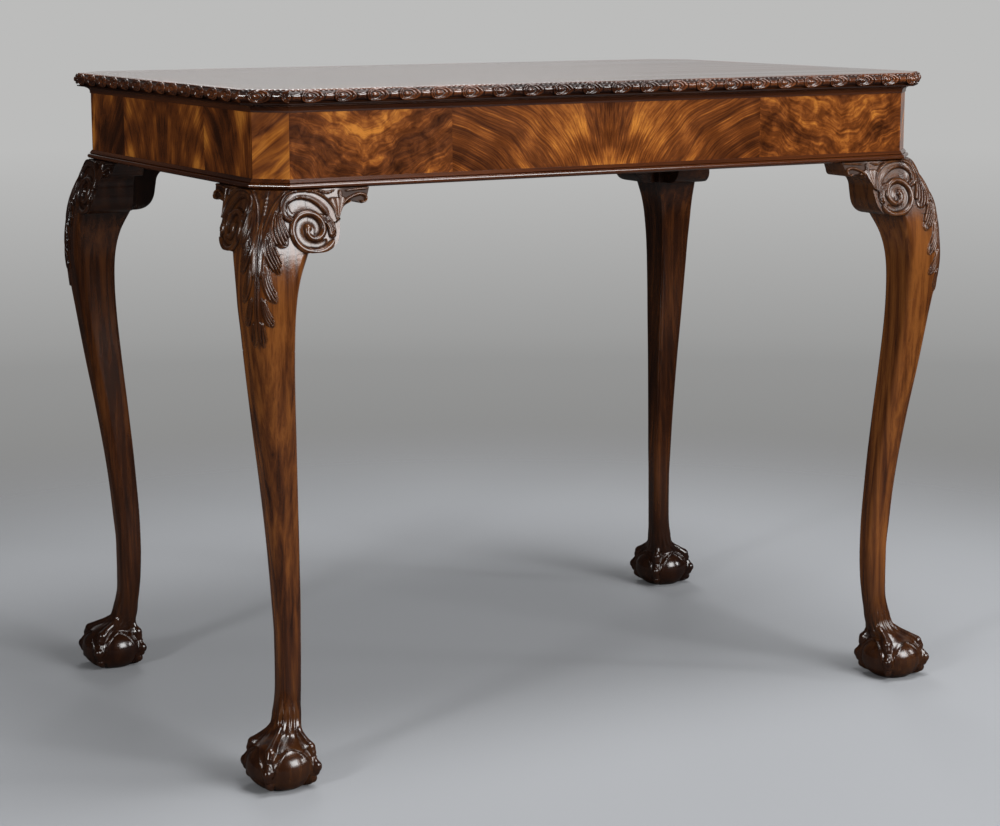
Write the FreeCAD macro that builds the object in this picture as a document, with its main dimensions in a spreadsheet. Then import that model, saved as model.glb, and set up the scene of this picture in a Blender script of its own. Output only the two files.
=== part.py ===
import FreeCAD, Part
import math
import os
import re
import Sketcher

# Occasional table: a rectangular top with cut-off corners on a shallow veneered
# frieze, carried by four cabriole legs on ball-and-claw feet.
#
# Frame: X runs along the long side, Y from the front to the back, Z is up.
# The origin is on the floor under the middle of the top.
#
# Corners are counted anticlockwise from above: front left, front right, back
# right, back left. Each corner has a frame of its own on the floor, at the place
# where the two frieze faces would meet if the corner weren't cut off, with x
# along the side that starts there and y pointing in. A side uses the frame of
# the corner that it starts from.

os.makedirs("parts", exist_ok=True)
doc = FreeCAD.newDocument("occasional_table")

# Driving sizes, in millimetres.
SIZES = [
    ("table_height", 760, "floor to top surface"),
    ("frame_length", 871, "between the end frieze faces"),
    ("frame_depth", 556, "between the front and back frieze faces"),
    ("cant_setback", 29.7, "how much of each side the cut-off corner takes"),
    ("veneer_thickness", 1.2, "saw-cut veneer on the frieze"),
    ("fit_gap", 0.1, "clearance round a joint or a screw"),
    ("end_gap", 0.3, "glue space at the end of a tenon"),
    ("overrun", 40, "how far a cutting shape passes through"),
    ("top_thickness", 16, "top boards and their edge moulding"),
    ("edge_width", 30, "edge moulding, from its back to its shoulder and round"),
    ("edge_shoulder", 11.6, "flat top of the edge moulding, beyond the frieze"),
    ("edge_round", 13.5, "height of the carved half round"),
    ("edge_step", 1.1, "step back under the half round"),
    ("cove_height", 8.5, "moulding under the top"),
    ("cove_lip", 1.8, "square lip above the hollow"),
    ("cove_radius", 5, "the hollow"),
    ("cove_foot", 1, "lower edge of the cove, beyond the frieze"),
    ("bead_height", 11.3, "moulding along the bottom of the frieze"),
    ("bead_radius", 2.6, "round bead"),
    ("bead_centre", 3.4, "middle of the bead, beyond the frieze"),
    ("bead_centre_rise", 3.9, "middle of the bead, above the moulding's base"),
    ("bead_lip", 0.8, "upper edge of the bead moulding, beyond the frieze"),
    ("bead_quirk", 1.1, "narrow groove above the bead"),
    ("frieze_height", 89.5, "rails, from their lower edge to the top boards"),
    ("rail_thickness", 24, "rails without veneer"),
    ("tenon_thickness", 8, "rail tenons"),
    ("tenon_setback", 10, "rail face to tenon"),
    ("tenon_length", 16, "rail tenons"),
    ("tenon_shoulder", 10, "rail edges to tenon"),
    ("stile_inner", 44, "inner face of the leg's post, behind the frieze face"),
    ("ear_height", 65.5, "ear brackets, from the knee's ledge up to the rails"),
    ("knee_swell", 22, "how far the knee stands out at the ledge"),
    ("knee_top_swell", 4.5, "how far the knee stands out under the frieze"),
    ("ball_radius", 40, "ball of the foot, seen from above"),
    ("ball_height", 30, "half the height of the squat ball before it is cut flat"),
    ("ball_rise", 24, "middle of the ball above the floor"),
    ("ball_setback", 10.9, "middle of the ball, behind each frieze face"),
    ("ear_reach", 76, "ear bracket along the rail, from the post"),
    ("ear_inner", 33, "back of the ear bracket, behind the frieze face"),
    ("volute_radius", 21.5, "scroll at the side of the knee"),
    ("volute_offset", 1.5, "middle of the scroll, from the post"),
    ("volute_relief", 3, "how far the scroll stands proud"),
    ("volute_rim", 4.5, "raised rim of the scroll"),
    ("volute_hollow", 2, "depth inside the rim"),
    ("volute_eye", 7.5, "round eye of the scroll"),
    ("scroll_radius", 31, "arched scroll over the volute"),
    ("scroll_thick", 3.4, "radius of the arched scroll's round"),
    ("block_leg", 69, "corner block along each rail"),
    ("block_height", 60, "corner blocks"),
    ("bearer_width", 22, "cross bearer in the middle"),
    ("bearer_height", 45, "cross bearer in the middle"),
    ("bearer_housing", 6, "how far the bearer is let into the rails"),
    ("glue_block_length", 60, "rubbed glue blocks under the top"),
    ("glue_block_side", 20, "rubbed glue blocks under the top"),
    ("screw_radius", 2.1, "screw shanks"),
    ("screw_head_radius", 4.2, "screw heads"),
    ("screw_head_height", 2.6, "screw heads"),
    ("screw_slot_width", 0.9, "slot in a screw head"),
    ("screw_slot_depth", 1, "slot in a screw head"),
    ("screw_bite", 10, "length of a top screw inside the top boards"),
    ("top_screw_length", 38, "screws that hold the top down"),
    ("block_screw_bite", 13, "length of a block screw inside the rail"),
    ("block_screw_length", 28, "screws that hold the corner blocks"),
    ("ear_screw_bite", 22, "length of an ear screw inside the rail"),
    ("ear_screw_length", 32, "screws that hold the ear brackets"),
]

sheet = doc.addObject("Spreadsheet::Sheet", "Sizes")
for row_number, (alias, number, meaning) in enumerate(SIZES, start=1):
    sheet.set("A%d" % row_number, alias)
    sheet.set("B%d" % row_number, str(number))
    sheet.set("C%d" % row_number, meaning)
    sheet.setAlias("B%d" % row_number, alias)
doc.recompute()
ALIASES = {row[0] for row in SIZES}


# Working with the sheet

def bound(formula):
    """Give a formula in size names as an expression on the sheet."""
    def full_name(match):
        word = match.group(0)
        return "Sizes." + word if word in ALIASES else word
    return re.sub(r"[A-Za-z_]+", full_name, str(formula))


def size(formula):
    """Work out a formula in size names, in millimetres."""
    result = sheet.evalExpression(bound(formula))
    return float(getattr(result, "Value", result))


def bind(piece, **formulas):
    """Tie the named properties of a piece to the sheet."""
    for name, formula in formulas.items():
        piece.setExpression(name, bound(formula))


def bind_place(piece, x="0", y="0", z="0"):
    """Tie a piece's place to the sheet."""
    piece.setExpression("Placement.Base.x", bound(x))
    piece.setExpression("Placement.Base.y", bound(y))
    piece.setExpression("Placement.Base.z", bound(z))


def turned(angle, axis=FreeCAD.Vector(0, 0, 1)):
    """Give a turn about an axis, in degrees."""
    return FreeCAD.Rotation(axis, angle)


# Shapes that several pieces use

def add_box(name, low, high):
    """A box between two corners, each given as three formulas."""
    box = doc.addObject("Part::Box", name)
    bind(box, Length="(%s)-(%s)" % (high[0], low[0]))
    bind(box, Width="(%s)-(%s)" % (high[1], low[1]))
    bind(box, Height="(%s)-(%s)" % (high[2], low[2]))
    bind_place(box, *low)
    return box


def add_prism(name, outer, inner, low, high):
    """A block whose plan tapers from its outer to its inner face.

    outer and inner are (start, end, depth) along a side, low and high are heights.
    """
    prism = doc.addObject("Part::Wedge", name)
    bind(prism, Xmin=outer[0], Xmax=outer[1], Ymin=outer[2])
    bind(prism, X2min=inner[0], X2max=inner[1], Ymax=inner[2])
    bind(prism, Zmin=low, Zmax=high, Z2min=low, Z2max=high)
    return prism


def add_cylinder(name, radius, length, rise="0"):
    """A cylinder on the z axis that starts at rise."""
    cylinder = doc.addObject("Part::Cylinder", name)
    bind(cylinder, Radius=radius, Height=length)
    bind_place(cylinder, z=rise)
    return cylinder


def add_group(kind, name, pieces):
    """Join pieces: Part::MultiFuse, Part::MultiCommon or Part::Compound."""
    group = doc.addObject(kind, name)
    if kind == "Part::Compound":
        group.Links = pieces
    else:
        group.Shapes = pieces
    return group


def cut_away(name, base, tools):
    """Cut tools, a list of pieces, out of base."""
    cut = doc.addObject("Part::Cut", name)
    cut.Base = base
    cut.Tool = tools[0] if len(tools) == 1 else add_group("Part::Compound", name + "_tools", tools)
    return cut


def centre_formulas(start, end):
    """The centre of the arc between two points of an outline, as two formulas."""
    run = "((%s)-(%s))" % (end[0], start[0])
    climb = "((%s)-(%s))" % (end[1], start[1])
    square = "(pow(%s;2)+pow(%s;2))" % (run, climb)
    away = "((%s/4-pow(%s;2))/(2*(%s))/sqrt(%s))" % (square, start[2], start[2], square)
    across = "((%s)+(%s))/2-%s*%s" % (start[0], end[0], climb, away)
    up = "((%s)+(%s))/2+%s*%s" % (start[1], end[1], run, away)
    return across, up


def draw(sketch, points):
    """Draw a closed outline whose points are tied to the sheet.

    Each point is (across, up) or (across, up, rise). A rise is how far the edge
    that starts there bows out, to the right as the outline is followed.
    """
    places = [FreeCAD.Vector(size(point[0]), size(point[1]), 0) for point in points]
    for number, point in enumerate(points):
        start = places[number]
        end = places[(number + 1) % len(points)]
        if len(point) == 2:
            sketch.addGeometry(Part.LineSegment(start, end), False)
            continue
        chord = end - start
        right = FreeCAD.Vector(chord.y, -chord.x, 0).normalize()
        middle = (start + end) / 2 + right * size(point[2])
        sketch.addGeometry(Part.ArcOfCircle(start, middle, end), False)
    # An arc runs anticlockwise, so one that bows left is stored end first.
    first, last = [], []
    for number, point in enumerate(points):
        backwards = len(point) == 3 and size(point[2]) < 0
        first.append(2 if backwards else 1)
        last.append(1 if backwards else 2)
    for number, point in enumerate(points):
        after = (number + 1) % len(points)
        sketch.addConstraint(
            Sketcher.Constraint("Coincident", number, last[number], after, first[after]))
    for number, point in enumerate(points):
        place = places[number]
        for kind, amount, formula in (("DistanceX", place.x, point[0]), ("DistanceY", place.y, point[1])):
            constraint = sketch.addConstraint(
                Sketcher.Constraint(kind, -1, 1, number, first[number], amount))
            sketch.setExpression("Constraints[%d]" % constraint, bound(formula))
        if len(point) == 3:
            after = points[(number + 1) % len(points)]
            middle = centre_formulas(point, after)
            steep = abs(places[(number + 1) % len(points)].y - place.y) > abs(
                places[(number + 1) % len(points)].x - place.x)
            kind, formula = ("DistanceX", middle[0]) if steep else ("DistanceY", middle[1])
            constraint = sketch.addConstraint(
                Sketcher.Constraint(kind, -1, 1, number, 3, size(formula)))
            sketch.setExpression("Constraints[%d]" % constraint, bound(formula))
    return sketch


def origin_plane(body, role):
    """Find one of a body's own planes, such as XY_Plane."""
    return [feature for feature in body.Origin.OriginFeatures if feature.Role == role][0]


def body_sketch(body, name, plane, points, rise="0"):
    """A sketch on one of a body's own planes, raised from it by rise."""
    sketch = body.newObject("Sketcher::SketchObject", name)
    sketch.AttachmentSupport = [(origin_plane(body, plane), "")]
    sketch.MapMode = "FlatFace"
    sketch.setExpression("AttachmentOffset.Base.z", bound(rise))
    return draw(sketch, points)


# Heights and places that the pieces share, each as a formula in size names

board_underside = "(table_height-top_thickness)"
rail_bottom = "(table_height-top_thickness-frieze_height)"
cove_bottom = "(table_height-top_thickness-cove_height)"
bead_top = "(table_height-top_thickness-frieze_height+bead_height)"
knee_height = "(table_height-top_thickness-frieze_height-ear_height)"
rail_inner = "(veneer_thickness+rail_thickness)"
MITRE_SHARE = math.tan(math.radians(45) / 2)
DIAGONAL_SHARE = math.sqrt(2)
HALF_SHARE = 0.5
ROUND_RISE_SHARE = 1 - math.cos(math.radians(45))

CORNERS = ("front_left", "front_right", "back_right", "back_left")
SIDES = ("front", "right", "back", "left")
side_lengths = ("frame_length", "frame_depth", "frame_length", "frame_depth")
nodes = {}


def keep(name, piece):
    """Take a piece as one of the table's nodes, under its own label."""
    piece.Label = name
    nodes[name] = piece
    return piece


def corner_place(number, x=0.0, y=0.0, angle=0.0):
    """The place of something that stands at x, y in a corner's frame."""
    across = size("frame_length") * HALF_SHARE * (-1, 1, 1, -1)[number]
    along = size("frame_depth") * HALF_SHARE * (-1, -1, 1, 1)[number]
    frame = FreeCAD.Placement(FreeCAD.Vector(across, along, 0), turned(90 * number))
    return frame * FreeCAD.Placement(FreeCAD.Vector(x, y, 0), turned(angle))


def cant_place(number):
    """The frame of a cut-off corner: its origin is in the middle of the cant."""
    middle = size("cant_setback") * HALF_SHARE
    return corner_place(number, middle, middle, -45)


# Mouldings. A profile is drawn as (depth behind the frieze face, height), so what
# stands out is negative. Each length is mitred where it meets the next one.

edge_back = "(edge_width-edge_shoulder-edge_round/2)"
round_bottom = "(table_height-edge_round)"
EDGE_PROFILE = [
    (edge_back, board_underside),
    (edge_back, "table_height"),
    ("-edge_shoulder", "table_height", "edge_round/2"),
    ("-edge_shoulder", round_bottom),
    ("edge_step-edge_shoulder", round_bottom),
    ("edge_step-edge_shoulder", board_underside),
]
cove_reach = "(cove_foot+cove_radius)"
cove_rise = "-cove_radius*%r" % ROUND_RISE_SHARE
hollow_top = "(table_height-top_thickness-cove_lip)"
COVE_PROFILE = [
    ("veneer_thickness", cove_bottom),
    ("veneer_thickness", board_underside),
    ("-" + cove_reach, board_underside),
    ("-" + cove_reach, hollow_top, cove_rise),
    ("-cove_foot", hollow_top + "-cove_radius"),
    ("-cove_foot", cove_bottom),
]
bead_middle = "(table_height-top_thickness-frieze_height+bead_centre_rise)"
BEAD_PROFILE = [
    ("veneer_thickness", rail_bottom),
    ("veneer_thickness", bead_top),
    ("-bead_lip", bead_top),
    ("-bead_centre", bead_middle + "+bead_radius+bead_quirk"),
    ("bead_quirk-bead_centre", bead_middle + "+bead_radius"),
    ("-bead_centre", bead_middle + "+bead_radius", "bead_radius"),
    ("-bead_centre", bead_middle + "-bead_radius"),
    ("0", rail_bottom),
]


def add_moulding(name, profile, length, outer, inner, start="cant_setback"):
    """One mitred length: its profile run along the side, inside its plan."""
    run = doc.addObject("Part::Extrusion", name + "_run")
    sketch = doc.addObject("Sketcher::SketchObject", name + "_profile")
    standing = FreeCAD.Rotation(
        FreeCAD.Vector(0, 1, 0), FreeCAD.Vector(0, 0, 1), FreeCAD.Vector(1, 0, 0), "XYZ")
    sketch.Placement = FreeCAD.Placement(FreeCAD.Vector(), standing)
    draw(sketch, profile)
    bind_place(sketch, x="-overrun")
    run.Base = sketch
    run.DirMode = "Custom"
    run.Dir = FreeCAD.Vector(1, 0, 0)
    run.Solid = True
    bind(run, LengthFwd="%s+2*overrun" % length)
    plan = add_prism(
        name + "_plan",
        ("%s-(%s)*%r" % (start, outer, MITRE_SHARE),
         "%s-%s+(%s)*%r" % (length, start, outer, MITRE_SHARE), "-(%s)" % outer),
        ("%s+(%s)*%r" % (start, inner, MITRE_SHARE),
         "%s-%s-(%s)*%r" % (length, start, inner, MITRE_SHARE), inner),
        rail_bottom + "-overrun", "table_height+overrun")
    return add_group("Part::MultiCommon", name, [run, plan])


edge_reach = "(edge_shoulder+edge_round/2)"
bead_reach = "(bead_centre+bead_radius)"
cant_width = "(cant_setback*%r)" % DIAGONAL_SHARE
MOULDINGS = (
    ("edge_moulding", EDGE_PROFILE, edge_reach, edge_back),
    ("cove_moulding", COVE_PROFILE, cove_reach, "veneer_thickness"),
    ("bead_moulding", BEAD_PROFILE, bead_reach, "veneer_thickness"),
)
for kind, profile, outer, inner in MOULDINGS:
    for number, side in enumerate(SIDES):
        name = "%s_%s" % (kind, side)
        piece = add_moulding(name, profile, side_lengths[number], outer, inner)
        piece.Placement = corner_place(number)
        keep(name, piece)
    for number, corner in enumerate(CORNERS):
        name = "%s_corner_%s" % (kind, corner)
        piece = add_moulding(name, profile, cant_width, outer, inner, start="0")
        shift = FreeCAD.Placement(FreeCAD.Vector(-size(cant_width) * HALF_SHARE, 0, 0), turned(0))
        piece.Placement = cant_place(number) * shift
        keep(name, piece)


# Screws, standing on their heads with the shank pointing up. Shares are of the
# block's leg, the ear's reach and the frame's depth.

BLOCK_SCREW_SHARE = 0.72
EAR_SCREW_SHARE = 0.62
BEARER_SCREW_SHARE = 0.25

def add_screw(name, length, placement):
    """A countersunk wood screw with a slotted head."""
    head = doc.addObject("Part::Cone", name + "_head")
    bind(head, Radius1="screw_head_radius", Radius2="screw_radius", Height="screw_head_height")
    shank = add_cylinder(
        name + "_shank", "screw_radius", "%s-screw_head_height" % length, "screw_head_height")
    whole = add_group("Part::MultiFuse", name + "_whole", [head, shank])
    slot = add_box(
        name + "_slot",
        ("-screw_head_radius-overrun", "-screw_slot_width/2", "-overrun"),
        ("screw_head_radius+overrun", "screw_slot_width/2", "screw_slot_depth"))
    screw = cut_away(name, whole, [slot])
    screw.Placement = placement
    return screw


def screw_hole(name, length, placement):
    """The clearance and head holes of a screw in the piece that it holds."""
    shank = add_cylinder(name + "_shank", "screw_radius+fit_gap", length)
    head = add_cylinder(
        name + "_head", "screw_head_radius+fit_gap", "overrun+screw_head_height", "-overrun")
    hole = add_group("Part::MultiFuse", name, [shank, head])
    hole.Placement = placement
    return hole


def pilot_hole(name, length, placement):
    """The hole that a screw's shank bites into, as deep as the whole screw."""
    drill = add_cylinder(name + "_drill", "screw_radius+fit_gap/2", "%s+end_gap" % length)
    hole = add_group("Part::Compound", name, [drill])
    hole.Placement = placement
    return hole


def block_centre():
    """How far a corner block's top screw stands from each frieze face."""
    return size(rail_inner) + size("block_leg") * HALF_SHARE


def top_screw_place(number):
    """Where a screw that holds the top stands: four corners, then the bearer."""
    rise = size(board_underside) + size("screw_bite") - size("top_screw_length")
    lift = FreeCAD.Placement(FreeCAD.Vector(0, 0, rise), turned(0))
    if number < len(CORNERS):
        away = block_centre() - size("screw_head_radius")
        return corner_place(number, away, away) * lift
    reach = size("frame_depth") * BEARER_SCREW_SHARE * (-1, 1)[number - len(CORNERS)]
    return FreeCAD.Placement(FreeCAD.Vector(0, reach, rise), turned(0))


def block_screw_place(number, which):
    """A corner block's screw into the rail that starts at the corner, or ends there."""
    rise = size(board_underside) - size("block_height") * HALF_SHARE
    along = size(rail_inner) + size("block_leg") * BLOCK_SCREW_SHARE
    depth = size(rail_inner) - size("block_screw_bite") + size("block_screw_length")
    toward_front = turned(90, FreeCAD.Vector(1, 0, 0))
    toward_end = turned(-90, FreeCAD.Vector(0, 1, 0))
    if which == 0:
        place = FreeCAD.Placement(FreeCAD.Vector(along, depth, rise), toward_front)
    else:
        place = FreeCAD.Placement(FreeCAD.Vector(depth, along, rise), toward_end)
    return corner_place(number) * place


def ear_screw_place(number, which):
    """The screw that holds an ear bracket up to its rail."""
    rise = size(rail_bottom) + size("ear_screw_bite") - size("ear_screw_length")
    along = size("stile_inner") + size("ear_reach") * EAR_SCREW_SHARE
    depth = size("veneer_thickness") + size("rail_thickness") * HALF_SHARE
    spot = (along, depth) if which == 0 else (depth, along)
    return corner_place(number) * FreeCAD.Placement(FreeCAD.Vector(spot[0], spot[1], rise), turned(0))


top_screw_count = len(CORNERS) + 2
top_screws = []
for number in range(top_screw_count):
    top_screws.append(
        add_screw("top_screw_%d" % number, "top_screw_length", top_screw_place(number)))
keep("top_screws", add_group("Part::Compound", "top_screws", top_screws))
block_screws = []
ear_screws = []
for number in range(len(CORNERS)):
    for which in (0, 1):
        tag = "%d_%d" % (number, which)
        block_screws.append(
            add_screw("block_screw_" + tag, "block_screw_length", block_screw_place(number, which)))
        ear_screws.append(
            add_screw("ear_screw_" + tag, "ear_screw_length", ear_screw_place(number, which)))
keep("corner_block_screws", add_group("Part::Compound", "corner_block_screws", block_screws))
keep("ear_bracket_screws", add_group("Part::Compound", "ear_bracket_screws", ear_screws))


# Top: two boards glued along the middle, framed by the edge moulding

def add_board(name, front):
    """Half of the top, with its two outer corners cut off."""
    body = doc.addObject("PartDesign::Body", name + "_body")
    half_length = "(frame_length/2-(%s))" % edge_back
    half_depth = "(frame_depth/2-(%s))" % edge_back
    cut = "(cant_setback+(%s)*%r-(%s))" % (edge_back, MITRE_SHARE, edge_back)
    sign = "-" if front else ""
    points = [
        ("-" + half_length, "0"),
        ("-" + half_length, "%s(%s-%s)" % (sign, half_depth, cut)),
        ("-(%s-%s)" % (half_length, cut), "%s%s" % (sign, half_depth)),
        ("%s-%s" % (half_length, cut), "%s%s" % (sign, half_depth)),
        (half_length, "%s(%s-%s)" % (sign, half_depth, cut)),
        (half_length, "0"),
    ]
    sketch = body_sketch(body, name + "_plan", "XY_Plane", points, board_underside)
    pad = body.newObject("PartDesign::Pad", name + "_pad")
    pad.Profile = sketch
    bind(pad, Length="top_thickness")
    pilots = []
    for number in range(top_screw_count):
        place = top_screw_place(number)
        if (place.Base.y < 0) == front:
            pilots.append(pilot_hole("%s_pilot_%d" % (name, number), "top_screw_length", place))
    return cut_away(name, body, pilots)


keep("top_board_front", add_board("top_board_front", True))
keep("top_board_back", add_board("top_board_back", False))


# Frieze rails, tenoned into the legs' posts

def add_rail(number, side):
    """A rail with its tenons, the bearer's housing and the pilot holes."""
    name = "rail_" + side
    length = side_lengths[number]
    core = add_box(
        name + "_core",
        ("stile_inner", "veneer_thickness", rail_bottom),
        (length + "-stile_inner", rail_inner, board_underside))
    tenon = add_box(
        name + "_tenons",
        ("stile_inner-tenon_length", "veneer_thickness+tenon_setback", rail_bottom + "+tenon_shoulder"),
        (length + "-stile_inner+tenon_length", "veneer_thickness+tenon_setback+tenon_thickness",
         board_underside + "-tenon_shoulder"))
    whole = add_group("Part::MultiFuse", name + "_whole", [core, tenon])
    whole.Placement = corner_place(number)
    tools = []
    if number % 2 == 0:
        housing = add_box(
            name + "_housing",
            (length + "/2-bearer_width/2-fit_gap", rail_inner + "-bearer_housing-end_gap",
             board_underside + "-bearer_height-fit_gap"),
            (length + "/2+bearer_width/2+fit_gap", rail_inner + "+overrun", board_underside + "+overrun"))
        housing_cut = add_group("Part::Compound", name + "_housing_cut", [housing])
        housing_cut.Placement = corner_place(number)
        tools.append(housing_cut)
    after = (number + 1) % len(CORNERS)
    for tag, corner, which in (("start", number, 0), ("end", after, 1)):
        tools.append(pilot_hole(
            "%s_block_pilot_%s" % (name, tag), "block_screw_length", block_screw_place(corner, which)))
        tools.append(pilot_hole(
            "%s_ear_pilot_%s" % (name, tag), "ear_screw_length", ear_screw_place(corner, which)))
    return cut_away(name, whole, tools)


for number, side in enumerate(SIDES):
    keep("rail_" + side, add_rail(number, side))


# Cross bearer and corner blocks

bearer_half = "(frame_depth/2-%s+bearer_housing)" % rail_inner
bearer = add_box(
    "cross_bearer_core",
    ("-bearer_width/2", "-" + bearer_half, board_underside + "-bearer_height"),
    ("bearer_width/2", bearer_half, board_underside))
bearer_holes = []
for number in range(len(CORNERS), top_screw_count):
    bearer_holes.append(screw_hole(
        "bearer_hole_%d" % number, "top_screw_length", top_screw_place(number)))
keep("cross_bearer", cut_away("cross_bearer", bearer, bearer_holes))


def add_corner_block(number, corner):
    """A glue block across a corner, from rail to rail, clear of the post."""
    name = "corner_block_" + corner
    body = doc.addObject("PartDesign::Body", name + "_body")
    post_arris = "(2*stile_inner-%s)" % rail_inner
    tip = "(%s+block_leg)" % rail_inner
    points = [
        (post_arris, rail_inner),
        (tip, rail_inner),
        (rail_inner, tip),
        (rail_inner, post_arris),
    ]
    sketch = body_sketch(
        body, name + "_plan", "XY_Plane", points, board_underside + "-block_height")
    pad = body.newObject("PartDesign::Pad", name + "_pad")
    pad.Profile = sketch
    bind(pad, Length="block_height")
    body.Placement = corner_place(number)
    holes = [screw_hole(name + "_top_hole", "top_screw_length", top_screw_place(number))]
    for which in (0, 1):
        holes.append(screw_hole(
            "%s_side_hole_%d" % (name, which), "block_screw_length", block_screw_place(number, which)))
    return cut_away(name, body, holes)


for number, corner in enumerate(CORNERS):
    keep("corner_block_" + corner, add_corner_block(number, corner))


# Rubbed glue blocks in the angle between the rails and the top

GLUE_BLOCK_SHARES = ((0.24, 0.4, 0.6, 0.76), (0.5,), (0.24, 0.4, 0.6, 0.76), (0.5,))
glue_blocks = []
for number, side in enumerate(SIDES):
    for spot, share in enumerate(GLUE_BLOCK_SHARES[number]):
        name = "glue_block_%s_%d" % (side, spot)
        body = doc.addObject("PartDesign::Body", name)
        points = [
            (rail_inner, board_underside),
            (rail_inner, board_underside + "-glue_block_side"),
            (rail_inner + "+glue_block_side", board_underside),
        ]
        middle = "%s*%r" % (side_lengths[number], share)
        sketch = body_sketch(
            body, name + "_profile", "YZ_Plane", points, middle + "-glue_block_length/2")
        pad = body.newObject("PartDesign::Pad", name + "_pad")
        pad.Profile = sketch
        bind(pad, Length="glue_block_length")
        body.Placement = corner_place(number)
        glue_blocks.append(body)
keep("glue_blocks", add_group("Part::Compound", "glue_blocks", glue_blocks))


# Veneer leaves. On a long side: an end pair, the middle pair and an end pair,
# each pair opened like a book and laid by eye, so no two are quite as wide. On a
# short side: a narrow leaf at each end and the middle pair. The leaves stop at the
# mouldings.

LONG_SEAM_SHARES = (0, 0.106, 0.239, 0.487, 0.743, 0.889, 1)
SHORT_SEAM_SHARES = (0, 0.205, 0.468, 0.798, 1)


def seam(length, share):
    """Where a seam stands along a side, as a share of the way between its corners."""
    return "(cant_setback+(%s-2*cant_setback)*%r)" % (length, share)


def add_leaf(name, start, end, trims):
    """A leaf of veneer from start to end, trimmed back at the ends in trims."""
    trim = "veneer_thickness*%r" % MITRE_SHARE
    inner_start = "%s+%s" % (start, trim) if "start" in trims else start
    inner_end = "%s-%s" % (end, trim) if "end" in trims else end
    return add_prism(
        name, (start, end, "0"), (inner_start, inner_end, "veneer_thickness"), bead_top, cove_bottom)


for number, side in enumerate(SIDES):
    shares = LONG_SEAM_SHARES if number % 2 == 0 else SHORT_SEAM_SHARES
    seams = [seam(side_lengths[number], share) for share in shares]
    leaves = []
    for spot in range(len(seams) - 1):
        trims = []
        if spot == 0:
            trims.append("start")
        if spot == len(seams) - 2:
            trims.append("end")
        name = "veneer_%s_leaf_%d" % (side, spot)
        leaves.append(add_leaf(name, seams[spot], seams[spot + 1], trims))
    name = "frieze_veneer_" + side
    group = add_group("Part::Compound", name, leaves)
    group.Placement = corner_place(number)
    keep(name, group)
for number, corner in enumerate(CORNERS):
    name = "corner_veneer_" + corner
    leaf = add_leaf(name, "-%s/2" % cant_width, "%s/2" % cant_width, ("start", "end"))
    leaf.Placement = cant_place(number)
    keep(name, leaf)


# Legs. One leg is drawn in a corner's frame: x and y both point in under the
# table, and the leg is the same on both sides of the diagonal between them.
# The cabriole is lofted through rounded squares whose sides are parallel to the
# table's. Shares are of the knee's height and of the blank that the leg is cut from:
# height, outer face, inner face, rounding of the side, inner and outer arris.

blank = "(stile_inner+knee_swell)"
CABRIOLE_SHARES = (
    (0.073, -0.212, 0.606, 0.390, 0.390, 0.390),
    (0.085, -0.120, 0.580, 0.330, 0.330, 0.330),
    (0.098, 0.020, 0.572, 0.250, 0.250, 0.250),
    (0.114, 0.120, 0.583, 0.182, 0.182, 0.182),
    (0.136, 0.174, 0.596, 0.137, 0.137, 0.139),
    (0.170, 0.230, 0.630, 0.137, 0.137, 0.110),
    (0.204, 0.241, 0.647, 0.152, 0.106, 0.124),
    (0.272, 0.242, 0.661, 0.166, 0.091, 0.117),
    (0.340, 0.206, 0.653, 0.166, 0.091, 0.139),
    (0.407, 0.155, 0.627, 0.166, 0.091, 0.186),
    (0.475, 0.094, 0.594, 0.159, 0.083, 0.205),
    (0.577, -0.020, 0.532, 0.151, 0.076, 0.230),
    (0.679, -0.148, 0.464, 0.136, 0.068, 0.250),
    (0.781, -0.268, 0.408, 0.136, 0.061, 0.286),
    (0.849, -0.332, 0.394, 0.136, 0.053, 0.250),
    (0.917, -0.379, 0.423, 0.136, 0.045, 0.273),
    (0.959, -0.370, 0.503, 0.136, 0.045, 0.317),
    (1.000, -0.333, 0.650, 0.136, 0.045, 0.333),
)
# The knee above the ledge: height between the ledge and the frieze, how much of
# the swell at the ledge is left, and the outer rounding as a share of the blank.
KNEE_SHARES = (
    (0.00, 1.00, 0.333),
    (0.25, 0.82, 0.350),
    (0.50, 0.54, 0.394),
    (0.75, 0.24, 0.500),
    (1.00, 0.00, 0.600),
)


def knee_swell_at(share):
    """How far the knee stands out where this share of the swell is left."""
    return "(knee_top_swell+(knee_swell-knee_top_swell)*%r)" % share


def rounded_square(outer, inner, side_round, inner_round, outer_round):
    """Points of a rounded square on the diagonal, anticlockwise."""
    def bow(radius):
        return "(%s)*%r" % (radius, ROUND_RISE_SHARE)
    return [
        ("%s+%s" % (outer, outer_round), outer),
        ("%s-%s" % (inner, side_round), outer, bow(side_round)),
        (inner, "%s+%s" % (outer, side_round)),
        (inner, "%s-%s" % (inner, inner_round), bow(inner_round)),
        ("%s-%s" % (inner, inner_round), inner),
        ("%s+%s" % (outer, side_round), inner, bow(side_round)),
        (outer, "%s-%s" % (inner, side_round)),
        (outer, "%s+%s" % (outer, outer_round), bow(outer_round)),
    ]


def knee_section(outer, outer_round):
    """Points of the knee block above the ledge: only its outer arris is rounded."""
    return [
        ("%s+%s" % (outer, outer_round), outer),
        ("stile_inner", outer),
        ("stile_inner", "stile_inner"),
        (outer, "stile_inner"),
        (outer, "%s+%s" % (outer, outer_round), "(%s)*%r" % (outer_round, ROUND_RISE_SHARE)),
    ]


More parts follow.
